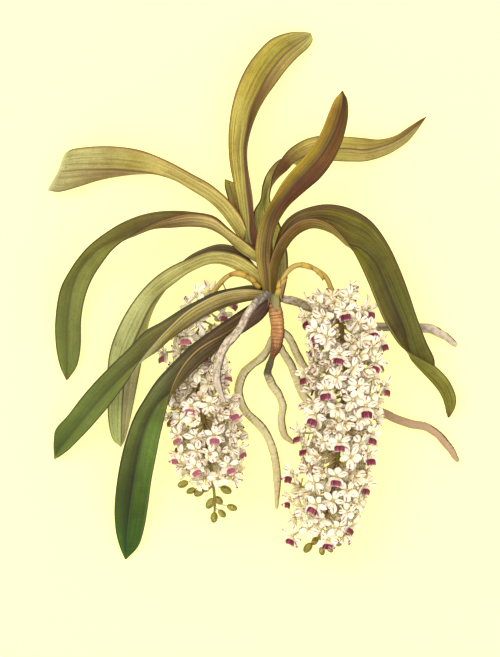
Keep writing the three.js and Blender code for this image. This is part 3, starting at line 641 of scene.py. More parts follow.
add_leaf(
    "left_arching",
    "leaf_green",
    1,
    """
    5 31.5 33.5, 8 22 30.5, 3.5 36 28.5
    -5 40.5 34.5, -8 31.5 31, -6.5 41.5 29
    -17.5 49.5 39, -20 43 32, -18.5 51 27
    -29 58 38, -32.5 49.5 32.5, -29 59.5 30
    -42.5 61 37.5, -44.5 51 32.5, -44 62.5 30
    -57.5 59.5 38, -59 50.5 31.5, -59.5 63.5 29.5
    -72.5 54.5 38.5, -74 49.5 29.5, -76 62 28
    -87.5 46.5 36.5, -89 44.5 27, -92.5 57 26
    -99.5 38.5 33, -104 40 24, -109 47.5 28.5
    -109 29 26, -117.5 33.5 20.5, -124 35.5 26.5
    -119 15 19, -129.5 20.5 16.5, -137.5 17.5 21.5
    -125.5 -0.5 14.5, -136 4.5 12.5, -145 2.5 17.5
    -129 -18.5 10.5, -139 -17 9, -148.5 -20 10.5
    -129.5 -38 7, -140 -38 5.5, -148 -39.5 7
    -132.5 -53 4, -140 -53 3, -145 -53 5.5
    -139.5 -63.5 1.5, -140.5 -64 1.5, -141 -63.5 1.5
    """,
    upper_near="0:897e3b 50:877a39 60:878837 80:7f873b 100:6c7f32",
    upper_far="0:7a6a15 45:6d5f12 60:8d8c3d 80:6f792a 100:838f34",
    under_near="0:dcd467 15:d9ca76 35:ad945a 50:917527 100:827525",
    under_far="0:b09c4a 20:b8a252 40:8f743b 100:8a7c3b",
    near_edge="0:8a4c24 30:96602c 55:5e5a28 100:5a5c28",
    far_edge="0:8a4c24 30:6a5a2a 100:4e5a26",
    rib="0:6b4a24 50:5d5426 100:575c26",
    folds=(0.92, 0.74, 0.52, 0.7),
    tip="6f5a30",
)
add_leaf(
    "top_centre",
    "leaf_olive",
    -1,
    """
    -1 28 20.5, 5 25 27, 8 29.5 20
    -8 43 21, -1 44.5 28, 4 44.5 20
    -8.5 56.5 21, -1.5 57 29, 2 57 20
    -10 67.5 20.5, -2.5 69 29, 0.5 69 19.5
    -13 82.5 20.5, -4 82.5 29, -1.5 82.5 19
    -16 97 21, -5 97.5 28.5, -3.5 97.5 18
    -17.5 112 21, -5.5 111 28, -3.5 111 17.5
    -17 127.5 23.5, -3.5 125.5 27, -1 124 16.5
    -14.5 144 22.5, -0.5 139 25.5, 4 137.5 15.5
    -10 159 20.5, 5 151 23.5, 9.5 148 14
    -3.5 172.5 18.5, 10 161.5 21, 16 157.5 12
    4 183 16, 17 172 18, 24.5 169 10.5
    14 193 13.5, 25 181.5 14.5, 34 179.5 9
    26 198 9.5, 34 189 10.5, 42.5 187.5 6.5
    37 199.5 5, 40 193.5 6.5, 45.5 193 3.5
    44.5 199 3, 44.5 198 3, 45.5 197.5 2.5
    """,
    upper_near="0:8a7c3d 100:8a7c3d",
    upper_far="0:8a7c3d 100:8a7c3d",
    under_near="0:dcdca4 12:dcd16f 40:dcd262 60:bfae3b 80:c0b345 100:b6ac67",
    under_far="0:bf836d 20:b37e69 50:694710 62:926d3e 78:cab55e 100:bfc267",
    near_edge="0:9a5426 35:a06028 60:8c6c30 100:8a6a34",
    far_edge="0:5e3e26 60:5e4526 100:7a5c2c",
    rib="0:5a3a1e 50:5e4424 100:7a6430",
    folds=(1, 1, 0.62, 0.8),
    tip="b09a5c",
)
add_leaf(
    "left_front",
    "leaf_green",
    1,
    """
    11 3 37, 9.5 -3.5 31, 8 5.5 28.5
    -1 4.5 38, -1 -4.5 34, -1 7.5 32
    -14 4 40.5, -14 -7.5 37.5, -14.5 5.5 35.5
    -26.5 0.5 44.5, -26 -12 41.5, -27.5 2.5 39
    -39.5 -6 47, -38 -18 44.5, -40 -3.5 42
    -51.5 -14 48.5, -49 -25.5 46, -53 -10.5 43
    -62.5 -24.5 51.5, -60.5 -33.5 45, -67 -19.5 43
    -73 -36 49.5, -71 -42.5 41, -80 -27 39.5
    -83 -48.5 45.5, -83 -50 35.5, -92 -39.5 37.5
    -92.5 -63.5 39.5, -95.5 -60 30, -104 -51 32
    -102.5 -76.5 32.5, -107.5 -72 24.5, -116 -63 26.5
    -113.5 -90 25.5, -119.5 -85 18.5, -128 -76.5 20.5
    -125.5 -103.5 18.5, -131 -99 12.5, -138.5 -90 14.5
    -137.5 -115 12.5, -140.5 -111.5 7, -148 -100.5 8.5
    -145 -121 7.5, -146.5 -118.5 3.5, -150 -109.5 5
    -148.5 -123.5 2, -149.5 -124 2, -150 -122.5 2
    """,
    upper_near="0:8f8e53 50:9c9e55 65:707d35 100:617827",
    upper_far="0:52431c 40:736928 55:727634 75:697a2d 100:4b6516",
    under_near="0:c9b567 15:b9a861 40:bab15c 55:d9da94 100:d3d18c",
    under_far="0:a08a4a 100:9aa059",
    near_edge="0:b09a58 30:c4b878 50:bcb878 62:5f6a34 100:56642e",
    far_edge="0:4c4826 100:4c5a28",
    rib="0:6a5230 45:6f6436 60:525a28 100:4f5c28",
    folds=(0.9, 0.66, 0.38, 0.7),
    tip="9a9458",
)
add_leaf(
    "lower_front",
    "leaf_green",
    1,
    """
    11 -3.5 29.5, 17.5 -6 23, 5 -2 20.5
    1 -12.5 33.5, 8 -18.5 28, -3.5 -8 26
    -8.5 -20 40, -3.5 -27 33.5, -12.5 -14 31.5
    -19 -27 46.5, -14.5 -33 39, -23.5 -21.5 37
    -30.5 -33.5 51, -25 -41 44, -35.5 -30 42
    -42.5 -41.5 52.5, -36.5 -51 47, -47.5 -39 45.5
    -52 -52.5 55, -47.5 -61.5 48, -59.5 -51 47
    -59.5 -67.5 55.5, -58 -72.5 45.5, -71 -63.5 47
    -64 -85.5 50, -70 -81.5 40.5, -80.5 -78 45
    -68.5 -103.5 37.5, -79 -97.5 34.5, -89 -93.5 40
    -71.5 -118.5 31.5, -84 -115.5 28.5, -96.5 -115.5 31
    -75.5 -138.5 23.5, -88 -137 21, -101 -137 23
    -78.5 -159.5 16, -91.5 -159 13.5, -103.5 -159 15.5
    -81.5 -176 9.5, -94 -176 7.5, -103 -176 9.5
    -86 -189.5 5, -95 -189.5 3.5, -100.5 -188 6
    -95 -199.5 1.5, -95.5 -200 1.5, -96.5 -199 1.5
    """,
    upper_near="0:7f6842 45:7a7844 58:6c8733 80:445d0d 100:335e0d",
    upper_far="0:77603a 28:6d5734 45:6d6f3b 58:758435 76:43510d 100:3d6f0d",
    under_near="0:67493a 15:6e593d 40:766938 52:928542 100:8e8f3d",
    under_far="0:5c402c 100:5c4a2c",
    near_edge="0:4e3426 18:a88c48 45:b89c50 56:6a7434 100:3e5a1c",
    far_edge="0:40301e 50:3e4420 100:36501a",
    rib="0:3e2a20 50:4c4426 65:46522a 80:3c4c1e 100:3a541c",
    folds=(0.92, 0.42, 0.8, 0.7),
    tip="4a5a24",
)
add_leaf(
    "left_pale",
    "leaf_olive",
    1,
    """
    8 17.5 30, 10 2.5 27, 5 19 24
    -1 25 29.5, -4 13 26.5, -2.5 28.5 23.5
    -11.5 31 29, -14.5 19.5 26, -11.5 36 23
    -23.5 33.5 31.5, -25 23 25.5, -24.5 38.5 22.5
    -36.5 32 31.5, -35.5 22 24.5, -38 34.5 21.5
    -50 26.5 30, -47.5 16.5 23, -49 28 17
    -63.5 20 26, -58 9 21.5, -59.5 16.5 12
    -76 10.5 25, -68.5 1.5 20, -66.5 3 9
    -87.5 -2 21, -76 -8 18.5, -73 -8 7.5
    -98 -18.5 18, -83 -22.5 17, -78.5 -22.5 6
    -106 -37.5 13.5, -90.5 -39 15, -82 -41 6
    -109 -54.5 11.5, -95.5 -56 13, -85 -57.5 5.5
    -109 -75 9.5, -97.5 -75 11, -88.5 -75 5
    -108.5 -93.5 7.5, -98.5 -93.5 9, -92.5 -93.5 3
    -105.5 -108 4, -99 -108 6, -96.5 -108 1.5
    -100 -114 2, -99.5 -114.5 2.5, -99 -114 2
    """,
    upper_near="0:5c5a2c 100:6a6c37",
    upper_far="0:635225 100:5e4e21",
    under_near="0:d2c761 15:cec167 40:dbdc83 65:c3c87b 100:cadc7a",
    under_far="0:dbdc86 25:dbdca0 45:dbdca0 65:dcdc8d 80:dcdca4 100:dcdca4",
    near_edge="0:7a5a30 30:6c6034 100:7c7c44",
    far_edge="0:7a5a30 100:80804c",
    rib="0:5e4a2c 40:6f6038 70:5e5a30 100:7c7c48",
    folds=(0.8, 0.8, 1, 0.75),
    tip="c0b888",
    lined=0.35,
)
add_leaf(
    "upper_left",
    "leaf_olive",
    1,
    """
    -4 50.5 27, -6.5 38.5 24, -8.5 52 21.5
    -8.5 60 26.5, -14.5 49.5 23.5, -10 60 21
    -17.5 71.5 27, -23 61 23.5, -17.5 70 17.5
    -29 81.5 29, -32.5 70.5 23.5, -28 78 15
    -41.5 89 30, -44.5 78.5 23.5, -41 84 13.5
    -56 97 30, -59 87 23, -55 90 12
    -70 104 24.5, -74 91.5 22, -70 92.5 11
    -83.5 109 22, -87.5 93 20, -85 91.5 9.5
    -97 111.5 19.5, -101 94.5 18, -101 90 7.5
    -110.5 112.5 14.5, -114.5 94.5 16, -116 87 7
    -124 112 11.5, -128.5 94.5 13.5, -131.5 82 10.5
    -135.5 110.5 8.5, -139 94 10.5, -145 78.5 8
    -141.5 107.5 5, -146 94 8, -154.5 79.5 5
    """,
    upper_near="0:8a7c3d 100:8a7c3d",
    upper_far="0:8a7c3d 100:8a7c3d",
    under_near="0:dccf6a 40:dccc70 60:afa147 80:bbb467 100:ced085",
    under_far="0:ccb66e 45:c0a870 65:a98d62 85:bab069 100:aba766",
    near_edge="0:9a5c2c 45:9a5a28 70:a07a40 100:a89a5c",
    far_edge="0:8a6434 60:7c6038 100:9a8c58",
    rib="0:8a6a38 35:6e4a26 70:704e28 90:8a7440 100:a09258",
    folds=(1, 1, 0.94, 1),
    tip="c6c088",
    lined=0.35,
)
add_leaf(
    "back_right",
    "leaf_olive",
    1,
    """
    11 -0.5 22, 17 -3.5 19.4, 23 -2 23.5
    8 15 18, 17.5 13.5 15, 26.5 15 19.5
    4 34 14.5, 15.5 34 11.5, 26.5 32.5 15.5
    1.5 52.5 12.5, 12.5 51 10, 22 50.5 15.5
    1.5 62.5 17, 10 62.5 10.5, 17.5 59.5 18.5
    6.5 72 21.5, 10 72 12, 13.5 71.5 22.5
    8 83.5 21, 12.5 79 13.5, 14 81 24
    12.5 94 9.5, 19 88 14.5, 16 91 24.5
    22 103 9.5, 26.5 94.5 15.5, 21.5 101.5 23
    32.5 99 6.5, 34 102.5 16.5, 29.5 111 22
    46 99 8, 44.5 107.5 16, 41 118 18
    59 102 7.5, 57.5 110.5 15, 55 120.5 18
    71.5 101.5 7.5, 71 111 13.5, 70 120 9
    84.5 102 5, 84.5 110 11.5, 83.5 119 7
    98 105 4.5, 97 112.5 9.5, 96.5 118 4
    110 111 3.5, 108.5 117 7.5, 108.5 121 3
    120.5 120 2, 119 124 5, 118 127 2
    131 134.5 2, 132 135.5 2, 130.5 135 2
    """,
    upper_near="0:dcda6d 20:dcda6d 33:dcdb83 42:8e7d34 100:807e31",
    upper_far="0:dcca89 20:d6db53 33:dcd87a 42:daba65 100:dcce77",
    under_near="0:8c7539 38:867035 48:bdb554 58:c6c04f 75:d6c267 92:b3a55b 100:a6925d",
    under_far="0:91794c 38:89583a 48:825425 58:dcc961 75:c7b451 92:8e7236 100:7c551c",
    near_edge="0:8a5c2a 40:5e3c1c 70:8a744a 100:6a4422",
    far_edge="0:8a5c2a 40:5e3c1c 70:9a8446 100:6a4422",
    rib="0:55401f 40:4c3318 60:7a6230 100:5e3c1c",
    folds=(1, 1, 0.75, 0.82),
    tip="5a3418",
    lined=0.35,
)
add_leaf(
    "young_behind",
    "leaf_green",
    1,
    """
    -9 38 22, -3 38 20, 2 38 22
    -14.5 60 17, -10 60 13, -5.5 60 17
    -17.5 71.5 15.5, -13 71.5 11.5, -8.5 71.5 15.5
    -20 80.5 15, -16 80.5 10.5, -11.5 80.5 14.5
    -20.5 88 11, -17.5 87 9.5, -14 85.5 11
    """,
    upper_near="0:ceac57 50:cab25b 100:a9ae5b",
    upper_far="0:b5a357 50:b8a957 100:b0a041",
    under_near="0:7a6c34 100:72642e",
    under_far="0:7a6c34 100:72642e",
    near_edge="0:7a5a2a 100:6a4a24",
    far_edge="0:7a5a2a 100:6a4a24",
    rib="0:4e4020 100:4e3c1e",
    folds=(1, 1, 1, 1),
    tip="6a4a24",
)


# Round pieces: each station is x, y, z and radius.
ROOTS = {
    "front_left": """
        12.5 1.5 41.5 3.1, 2 -6.5 43.5 3.2, -5 -17 46 3.2, -11 -28 49.5 3.2, -19.5 -37 54 3.1,
        -23.5 -46 55.5 3.1, -26 -57 55 3, -25 -67 54 2.8, -21 -78 52.5 1.4
    """,
    "long_centre": """
        15.2 -32 18 2.6, 12.5 -39 12.5 3, 7.5 -46.5 7 3.2, -1 -53 3.8 3.2, -7.5 -61.5 3.3 3.2,
        -9.8 -74 3.3 3.2, -5 -87 3.3 3.2, 7.5 -100 3.3 3.2, 14 -111 3.3 3.1, 17.5 -124 3.3 3.1,
        19 -139 3.2 3, 18.7 -159 2.4 1.4
    """,
    "short_centre": """
        15.6 -45 18 2.2, 12.8 -54 9 2.8, 12.3 -60 5 3, 15.5 -67.5 3.2 3, 20.8 -75.5 3.1 2.9,
        23.3 -85 3 2.8, 22.3 -95 2.9 2.7, 24.5 -105 2.8 2.6, 30 -110.5 2.3 1.5
    """,
    "right_short": """
        23.5 -27.5 22.5 2.8, 27.5 -31.5 17.5 3, 31 -37.5 11.5 3.1, 35 -46.5 6 3.1, 40 -54.5 3.4 3.1,
        48 -62 3.2 3, 57 -67 2.6 1.8
    """,
    "right_long": """
        21.5 -38.5 17.5 2.6, 24 -43.5 12.5 2.9, 27.5 -49 7.5 3.1, 32 -59 4 3.2, 37 -72 3.3 3.2,
        44 -80.5 3.3 3.2, 56 -85 3.3 3.2, 74 -86.5 3.3 3.2, 96 -87.5 3.3 3.2, 108 -93 3.3 3.2,
        119 -96.5 3.3 3.2, 132 -99.5 3.3 3.1, 141 -105.5 3.3 3, 149 -114.5 3.2 2.8, 154.5 -123 2.6 1.8
    """,
    "right_upper": """
        23 -2.5 23 2.8, 28 -3.5 19 3.1, 33 -4.5 14 3.3, 41 -7.5 8 3.4, 52 -12 4.2 3.4, 70 -18 3.5 3.4,
        91 -23 3.5 3.4, 111 -23.5 3.5 3.4, 126 -24 3.5 3.4, 136.5 -26 3.5 3.4, 145.5 -30 3.4 3.2,
        152 -35.5 3 2.4
    """,
}
# Painted shade: the side of a root turned away from the light is painted darker.
SHADED_SIDE = unit(np.array([1.0, -0.3, 0.0]))
# Roots painted darker over the stretch nearest the stem: how dark, and the shares of the length it fades
# between. On short_centre this is painted shade; on front_left it is darker towards the stem.
DARK_NEAR_STEM = {"short_centre": (0.95, 0.08, 0.42), "front_left": (0.75, 0.0, 0.3)}
ROOT_SIDES, STEM_SIDES = 22, 26
LYING = 8.0  # a root whose tip is lower than this lies on the surface
low_roots = []  # (path, radius) of the roots that lie on the surface


def add_root(name, look):
    line = spline(table(ROOTS[name], 4), 10)
    path, radius = line[:, :3], line[:, 3]
    path = path + np.stack([wander(len(path), 6, 0.2) for _ in range(3)], -1) * [1, 1, 0.3]
    radius = radius * (1 + wander(len(path), 4, 0.035))
    if path[-1, 2] < LYING:
        low_roots.append((path, radius))
    path, radius = rounded_ends(path, radius, 0, 1.7, steps=7)
    turn = 2 * math.pi * np.arange(ROOT_SIDES) / ROOT_SIDES
    roll, lean = (wander(len(path), 9, 1.2)[:, None] for _ in range(2))
    bumps = 0.035 * np.sin(2 * turn + roll) + 0.025 * np.sin(5 * turn + 2 * lean)
    rings, marks = tube(path, radius, ROOT_SIDES, bumps)
    outward = unit(rings - path[:, None])
    # Painted shade: the flank turned away from the light is painted darker
    flank = unit(np.cross(np.gradient(path, axis=0), UP))
    leaning = (flank * SHADED_SIDE).sum(-1)
    flank = flank * np.sign(leaning)[:, None] * smooth(np.abs(leaning), 0.0, 0.3)[:, None]
    side_shade = 0.82 * smooth((outward * flank[:, None]).sum(-1), 0.42, 0.9)
    # Darker over the stretch nearest the stem; on short_centre this is painted shade
    share, start, end = DARK_NEAR_STEM.get(name, (0.0, 0.0, 1.0))
    dark_near_stem = share * (1 - smooth(np.linspace(0, 1, len(path)), start, end))
    marks[..., 3] = np.maximum(side_shade, dark_near_stem[:, None])
    keep_up(rings)
    shape = Shape()
    shape.skin(rings, marks)
    points, _, faces, _ = shape.arrays()
    obstacles.append((points, faces))
    make_piece(f"velamen_{name}", shape, [look], f"root_{name}")


chalky = root_look("root_chalky", "e8d8ae", "a69076", "4c4640", "e4d0ac")
tawny = root_look("root_tawny", "fff4bc", "f0dc9a", "4e4436", "e0c48e")
tanned = root_look("root_tanned", "fff4bc", "f0dc9a", "4e3c30", "bc9470", 0.3, 0.85)
ROOT_LOOKS = {"front_left": chalky, "right_upper": chalky, "right_long": tanned}
for name in ROOTS:
    add_root(name, ROOT_LOOKS.get(name, tawny))

# Stem: narrow rings left by old leaves, and the pointed rest of one leaf's base
STEM = """
    15.7 -45.5 18 2.2, 18.3 -38.5 21 4.2, 19 -31.5 23 5, 19.2 -23 24.5 5.3, 17.6 -11 25.5 5.2,
    16 1 25.5 4.6, 13.5 14 26 4.4, 10.5 27 26.5 4.2, 5 41 25 3
"""
# Pointed scales at the stem's foot: start, end, angle round the stem, half angle and flare
STEM_SCALES = "52 35 8 50 0.4, 56 39 -62 48 0.8, 56 41 75 45 0.7"


class Axis:
    """A stalk's centre line, with its frame and radius at any distance along it."""

    def __init__(self, stations):
        line = spline(table(stations, 4), 12)
        self.path, self.radius = line[:, :3], line[:, 3]
        self.far = travelled(self.path)
        along = unit(np.gradient(self.path, axis=0))
        side = unit(np.cross(along, UP))
        self.frame = np.stack([along, side, np.cross(side, along)], 1)
        self.length = self.far[-1]

    def at(self, distance):
        """Centre, directions along, aside and up, and radius."""

        def pick(values):
            return np.array([np.interp(distance, self.far, column) for column in values.T])

        along, side, up = (unit(pick(self.frame[:, n])) for n in range(3))
        return pick(self.path), along, side, up, float(np.interp(distance, self.far, self.radius))

    def nearest(self, x, y):
        gap = np.hypot(self.path[:, 0] - x, self.path[:, 1] - y)
        return float(self.far[np.argmin(gap)])


def wrapped_scale(axis, start, end, middle_angle, half_angle, flare, lift=0.35):
    """A thin pointed scale that clasps a stalk, from its base to its free tip."""
    rows, columns = 12, 11
    v = np.linspace(0, 1, rows)
    u = np.linspace(-1, 1, columns)
    spread = half_angle * np.clip(1 - v**1.7, 0.03, 1) ** 0.8
    middle = np.zeros((rows, columns, 3))
    for i in range(rows):
        centre, _, side, up, radius = axis.at(start + (end - start) * v[i])
        angles = np.radians(middle_angle + u * spread[i])
        out = np.cos(angles)[:, None] * up + np.sin(angles)[:, None] * side
        middle[i] = centre + out * (radius + lift + flare * v[i] ** 2)
    half = 0.22 * (1 - 0.75 * np.abs(u) ** 3)[None, :] * (1 - 0.6 * v[:, None] ** 2)
    rings, _ = sheet(middle, half)
    across = np.concatenate([u, u[::-1]])
    return rings, marks_of((across + 1)[None, :] / 2, v[:, None], 0.5, 0.0)


def add_stem():
    axis = Axis(STEM)
    far = np.arange(0, axis.length, 0.42)
    spots = [axis.at(distance) for distance in far]
    path = np.array([spot[0] for spot in spots])
    radius = np.array([spot[4] for spot in spots])
    turn = 2 * math.pi * np.arange(STEM_SIDES) / STEM_SIDES
    groove = np.zeros((len(far), STEM_SIDES))
    position = 1.5
    while position < axis.length:
        sagging = far[:, None] - position + 0.55 * np.sin(turn + draw.uniform(2, 4))[None]
        groove = np.maximum(groove, np.exp(-((sagging / 0.4) ** 2)) * draw.uniform(0.35, 1.0))
        position += draw.uniform(1.7, 3.2)
    swell = 0.04 * np.sin(far / 2.3) + wander(len(far), 6, 0.02)
    path, radius = rounded_ends(path, radius * (1 + swell), 1.0, 0.0)
    groove = np.concatenate([np.zeros((len(path) - len(far), STEM_SIDES)), groove])
    bumps = 0.02 * np.sin(3 * turn + wander(len(path), 9, 1.0)[:, None]) - 0.09 * groove
    rings, marks = tube(path, radius, STEM_SIDES, bumps)
    outward = unit(rings - path[:, None])
    # Painted shade: the side of the stem turned away from the light is painted darker
    side_shade = smooth((outward * SHADED_SIDE).sum(-1), 0.5, 0.95)
    marks[..., 3] = np.maximum(0.85 * groove, 0.8 * side_shade)
    shape = Shape()
    shape.skin(rings, marks)
    for scale in table(STEM_SCALES, 5):
        shape.skin(*wrapped_scale(axis, *scale, lift=0.6), slot=1)
    make_piece("stem_with_scars", shape, [stem_look(), sheath_look()], "stem_ringed")


add_stem()


# Flowers are made about their own middle: +Z is the way the flower faces, +Y is its upper sepal.
TEPAL, LIP, COLUMN, PEDICEL, BUD = range(5)
# Outlines: how far along, and the share of the width there
TEPAL_OUTLINE = table("0 0.2, 0.12 0.4, 0.32 0.82, 0.5 1, 0.7 0.92, 0.85 0.6, 0.95 0.26, 1 0.06", 2)
LIP_OUTLINE = table("0 0.3, 0.3 0.38, 0.42 0.88, 0.5 1, 0.92 0.98, 1 0.86", 2)
# Sepals and petals: turn, length, width, how far back and how cupped
TEPALS = """
    0 9.3 5.9 -0.35 0.15, 142 9.6 6.6 -0.35 0.1, -142 9.6 6.6 -0.35 0.1, 70 8.8 4.9 0.25 0.2,
    -70 8.8 4.9 0.25 0.2
"""
OPENINGS = {"open": (84, 0.0), "closing": (58, -26.0), "half": (38, -34.0)}  # spread and curl
PETAL_HALF = 0.24  # half a petal's thickness
STALK_SIDES = 16
SOFT_LANDING = 1.5  # the height at which petals begin to lie down
CLEARANCE = 3.6  # the least height of a flower's middle over what it rests on
LEAST_REACH = 9.0  # a flower that would stand closer to the stalk than this is left out
STEP_BACK = 2.5  # how much closer to the stalk a flower is tried when something is in its way


def petal(size, outline, spread, curl, cup, turn, back, start=0.7, notch=0.0, twist=0.0, rows=9):
    """A thin closed petal that leaves the flower's axis at an angle, curls and twists."""
    length, width = size
    u = np.array([-1, -0.72, -0.38, 0, 0.38, 0.72, 1])
    v = 1 - (1 - np.linspace(0, 1, rows)) ** 1.25
    half_width = width / 2 * np.interp(v, *outline.T)
    angle = np.radians(spread + curl * v)
    step = np.diff(v, prepend=0) * length
    none = np.zeros(rows)
    forward = np.stack([none, np.cumsum(step * np.sin(angle)), np.cumsum(step * np.cos(angle))], -1)
    lift = np.stack([none, -np.cos(angle), np.sin(angle)], -1)
    sideways = np.array([1.0, 0.0, 0.0])
    turned = np.radians(twist) * v[:, None]
    across_way = np.cos(turned) * sideways + np.sin(turned) * lift
    lift_way = np.cos(turned) * lift - np.sin(turned) * sideways
    bow = (cup * u**2)[None, :] * half_width[:, None]
    middle = forward[:, None] + bow[..., None] * lift_way[:, None]
    middle += (u[None, :] * half_width[:, None])[..., None] * across_way[:, None]
    middle[..., 1] += start - notch * (smooth(v, 0.8, 1.0)[:, None] * (1 - u**2)[None, :])
    middle[..., 2] += back
    half = PETAL_HALF * (1 - 0.8 * np.abs(u) ** 3)[None, :] * np.ones((rows, 1))
    rings, _ = sheet(middle, half)
    c, s = math.cos(math.radians(turn)), math.sin(math.radians(turn))
    rings = rings @ np.array([[c, s, 0], [-s, c, 0], [0, 0, 1]])
    across = np.concatenate([u, u[::-1]])
    return rings, marks_of((across + 1)[None, :] / 2, v[:, None], draw.random(), 0.0)


def bead(middle, half_axes, rows, sides, first, second, third):
    """A closed rounded body with rings along Z. A mark given as None runs round or along it."""
    a = np.radians(np.linspace(-84, 84, rows))
    turn = 2 * math.pi * np.arange(sides) / sides
    x = half_axes[0] * np.cos(a)[:, None] * np.cos(turn)[None, :]
    y = half_axes[1] * np.cos(a)[:, None] * np.sin(turn)[None, :]
    z = half_axes[2] * np.repeat(np.sin(a)[:, None], sides, axis=1)
    along = np.linspace(0, 1, rows) if second is None else np.full(rows, second)
    around = np.arange(sides) / sides if first is None else np.full(sides, first)
    rings = np.stack([x, y, z], -1) + np.array(middle)
    return rings, marks_of(around[None, :], along[:, None], third, 0.0)


def flower(opening, bright):
    """One flower: three sepals, two petals, a pouched lip and the column."""
    shape = Shape()
    wide, narrow = OPENINGS[opening]
    for turn, length, width, back, cup in table(TEPALS, 5):
        size = draw.uniform(0.88, 1.08)
        tepal = petal(
            (length * size, width * draw.uniform(0.85, 1.1)),
            TEPAL_OUTLINE,
            wide + draw.uniform(-20, 12),
            narrow + draw.uniform(-30, 38),
            cup + draw.uniform(-0.25, 0.4),
            turn + draw.uniform(-12, 12),
            back,
            twist=draw.uniform(-38, 38),
        )
        shape.skin(*tepal, slot=TEPAL)
    if bright:
        bends = (draw.uniform(46, 60), draw.uniform(28, 44), draw.uniform(0.1, 0.3))
        turn = 180 + draw.uniform(-6, 6)
        lip = petal((7.8, 8.4), LIP_OUTLINE, *bends, turn, 0.5, start=0.9, notch=0.5, rows=13)
        shape.skin(*lip, slot=LIP)
    else:
        size = 1.0 if opening == "open" else 0.8
        bends = (draw.uniform(40, 62), draw.uniform(10, 50), draw.uniform(0.5, 0.95))
        turn = 180 + draw.uniform(-14, 14)
        folded = petal((6.2 * size, 4.8 * size), TEPAL_OUTLINE, *bends, turn, 0.5, start=0.9)
        shape.skin(*folded, slot=TEPAL)
    shape.skin(*bead((0, -2.0, -1.9), (1.4, 2.2, 2.9), 6, 8, 0.5, 0.35, 0.2), slot=TEPAL)
    shape.skin(*bead((0, 0.5, 1.1), (0.95, 1.05, 1.9), 6, 8, 0.5, None, 0.5), slot=COLUMN)
    return shape.arrays()


BRIGHT = [flower("open", True) for _ in range(10)]
PLAIN = [flower("open", False) for _ in range(10)]
CLOSING = [flower("closing", False) for _ in range(7)]
HALF_OPEN = [flower("half", False) for _ in range(5)]


def bent_tube(start, start_way, end, end_way, *radii):
    """A short tube on a curve that leaves and arrives in given directions, as arrays."""
    reach = 0.42 * np.linalg.norm(end - start)
    t = np.linspace(0, 1, 9)[:, None]
    a, b, c, d = start, start + reach * start_way, end - reach * end_way, end
    path = a * (1 - t) ** 3 + 3 * b * t * (1 - t) ** 2 + 3 * c * t**2 * (1 - t) + d * t**3
    radius = radii[0] + (radii[1] - radii[0]) * smooth(t[:, 0], 0.2, 0.9)
    return as_arrays(tube(path, radius, 7), PEDICEL)


def as_arrays(skin, slot):
    shape = Shape()
    shape.skin(*skin, slot=slot)
    return shape.arrays()


def ground_under(points):
    """Height of what the flowers rest on: the surface, or a root that lies on it."""
    level = np.zeros(len(points))
    for path, radius in low_roots:
        for centre, r in zip(path, radius + 0.5):
            square = r * r - ((points[:, :2] - centre[:2]) ** 2).sum(1)
            over = square > 0
            level[over] = np.maximum(level[over], centre[2] + np.sqrt(square[over]))
    return level


def laid_down(points):
    """Petals that reach the surface lie flat along it."""
    level = ground_under(points)
    height = points[:, 2] - level
    low = height < SOFT_LANDING
    height[low] = SOFT_LANDING * np.exp((height[low] - SOFT_LANDING) / SOFT_LANDING)
    points[:, 2] = level + height
    return points


def tree_of(parts):
    shape = Shape()
    for points, faces in parts:
        shape.add(points, np.zeros((len(points), 4)), faces, np.zeros(len(faces)))
    points, _, faces, _ = shape.arrays()
    return BVHTree.FromPolygons(points.tolist(), faces.tolist())


leaves_and_roots = tree_of(obstacles)


def placed(template, middle, facing, upper, size):
    points, marks, faces, slots = template
    right = unit(np.cross(upper, facing))
    basis = np.stack([right, np.cross(facing, right), facing])
    marks = marks.copy()
    marks[:, 2] = (marks[:, 2] + draw.random()) % 1.0
    return middle + size * (points @ basis), marks, faces, slots


def flower_parts(axis, template, seat, lean, tilt, roll, lift, size):
    """A flower on its pedicel, or None where a leaf or a root is in the way."""
    distance, angle, reach = seat
    while reach > LEAST_REACH:
        centre, along, side, up, _ = axis.at(distance)
        radial = math.cos(angle) * up + math.sin(angle) * side
        middle = centre + radial * reach
        middle[2] = max(middle[2], ground_under(middle[None])[0] + CLEARANCE)
        facing = unit(radial + math.tan(tilt) * along + lift * UP)
        turned = -math.cos(roll) * along + math.sin(roll) * np.cross(facing, along)
        upper = unit(turned - facing * np.dot(turned, facing))
        foot, foot_along, foot_side, foot_up, foot_radius = axis.at(max(distance - lean * reach, 0.5))
        outward = math.cos(angle) * foot_up + math.sin(angle) * foot_side
        start, end = foot + outward * foot_radius * 0.6, middle - facing * 1.2 * size
        pedicel = bent_tube(start, unit(outward + 0.5 * foot_along), end, facing, 0.6, 0.95)
        pieces = [placed(template, middle, facing, upper, size), pedicel]
        pieces = [(laid_down(points), *rest) for points, *rest in pieces]
        if not leaves_and_roots.overlap(tree_of([(points, faces) for points, _, faces, _ in pieces])):
            return pieces
        reach -= STEP_BACK
    return None


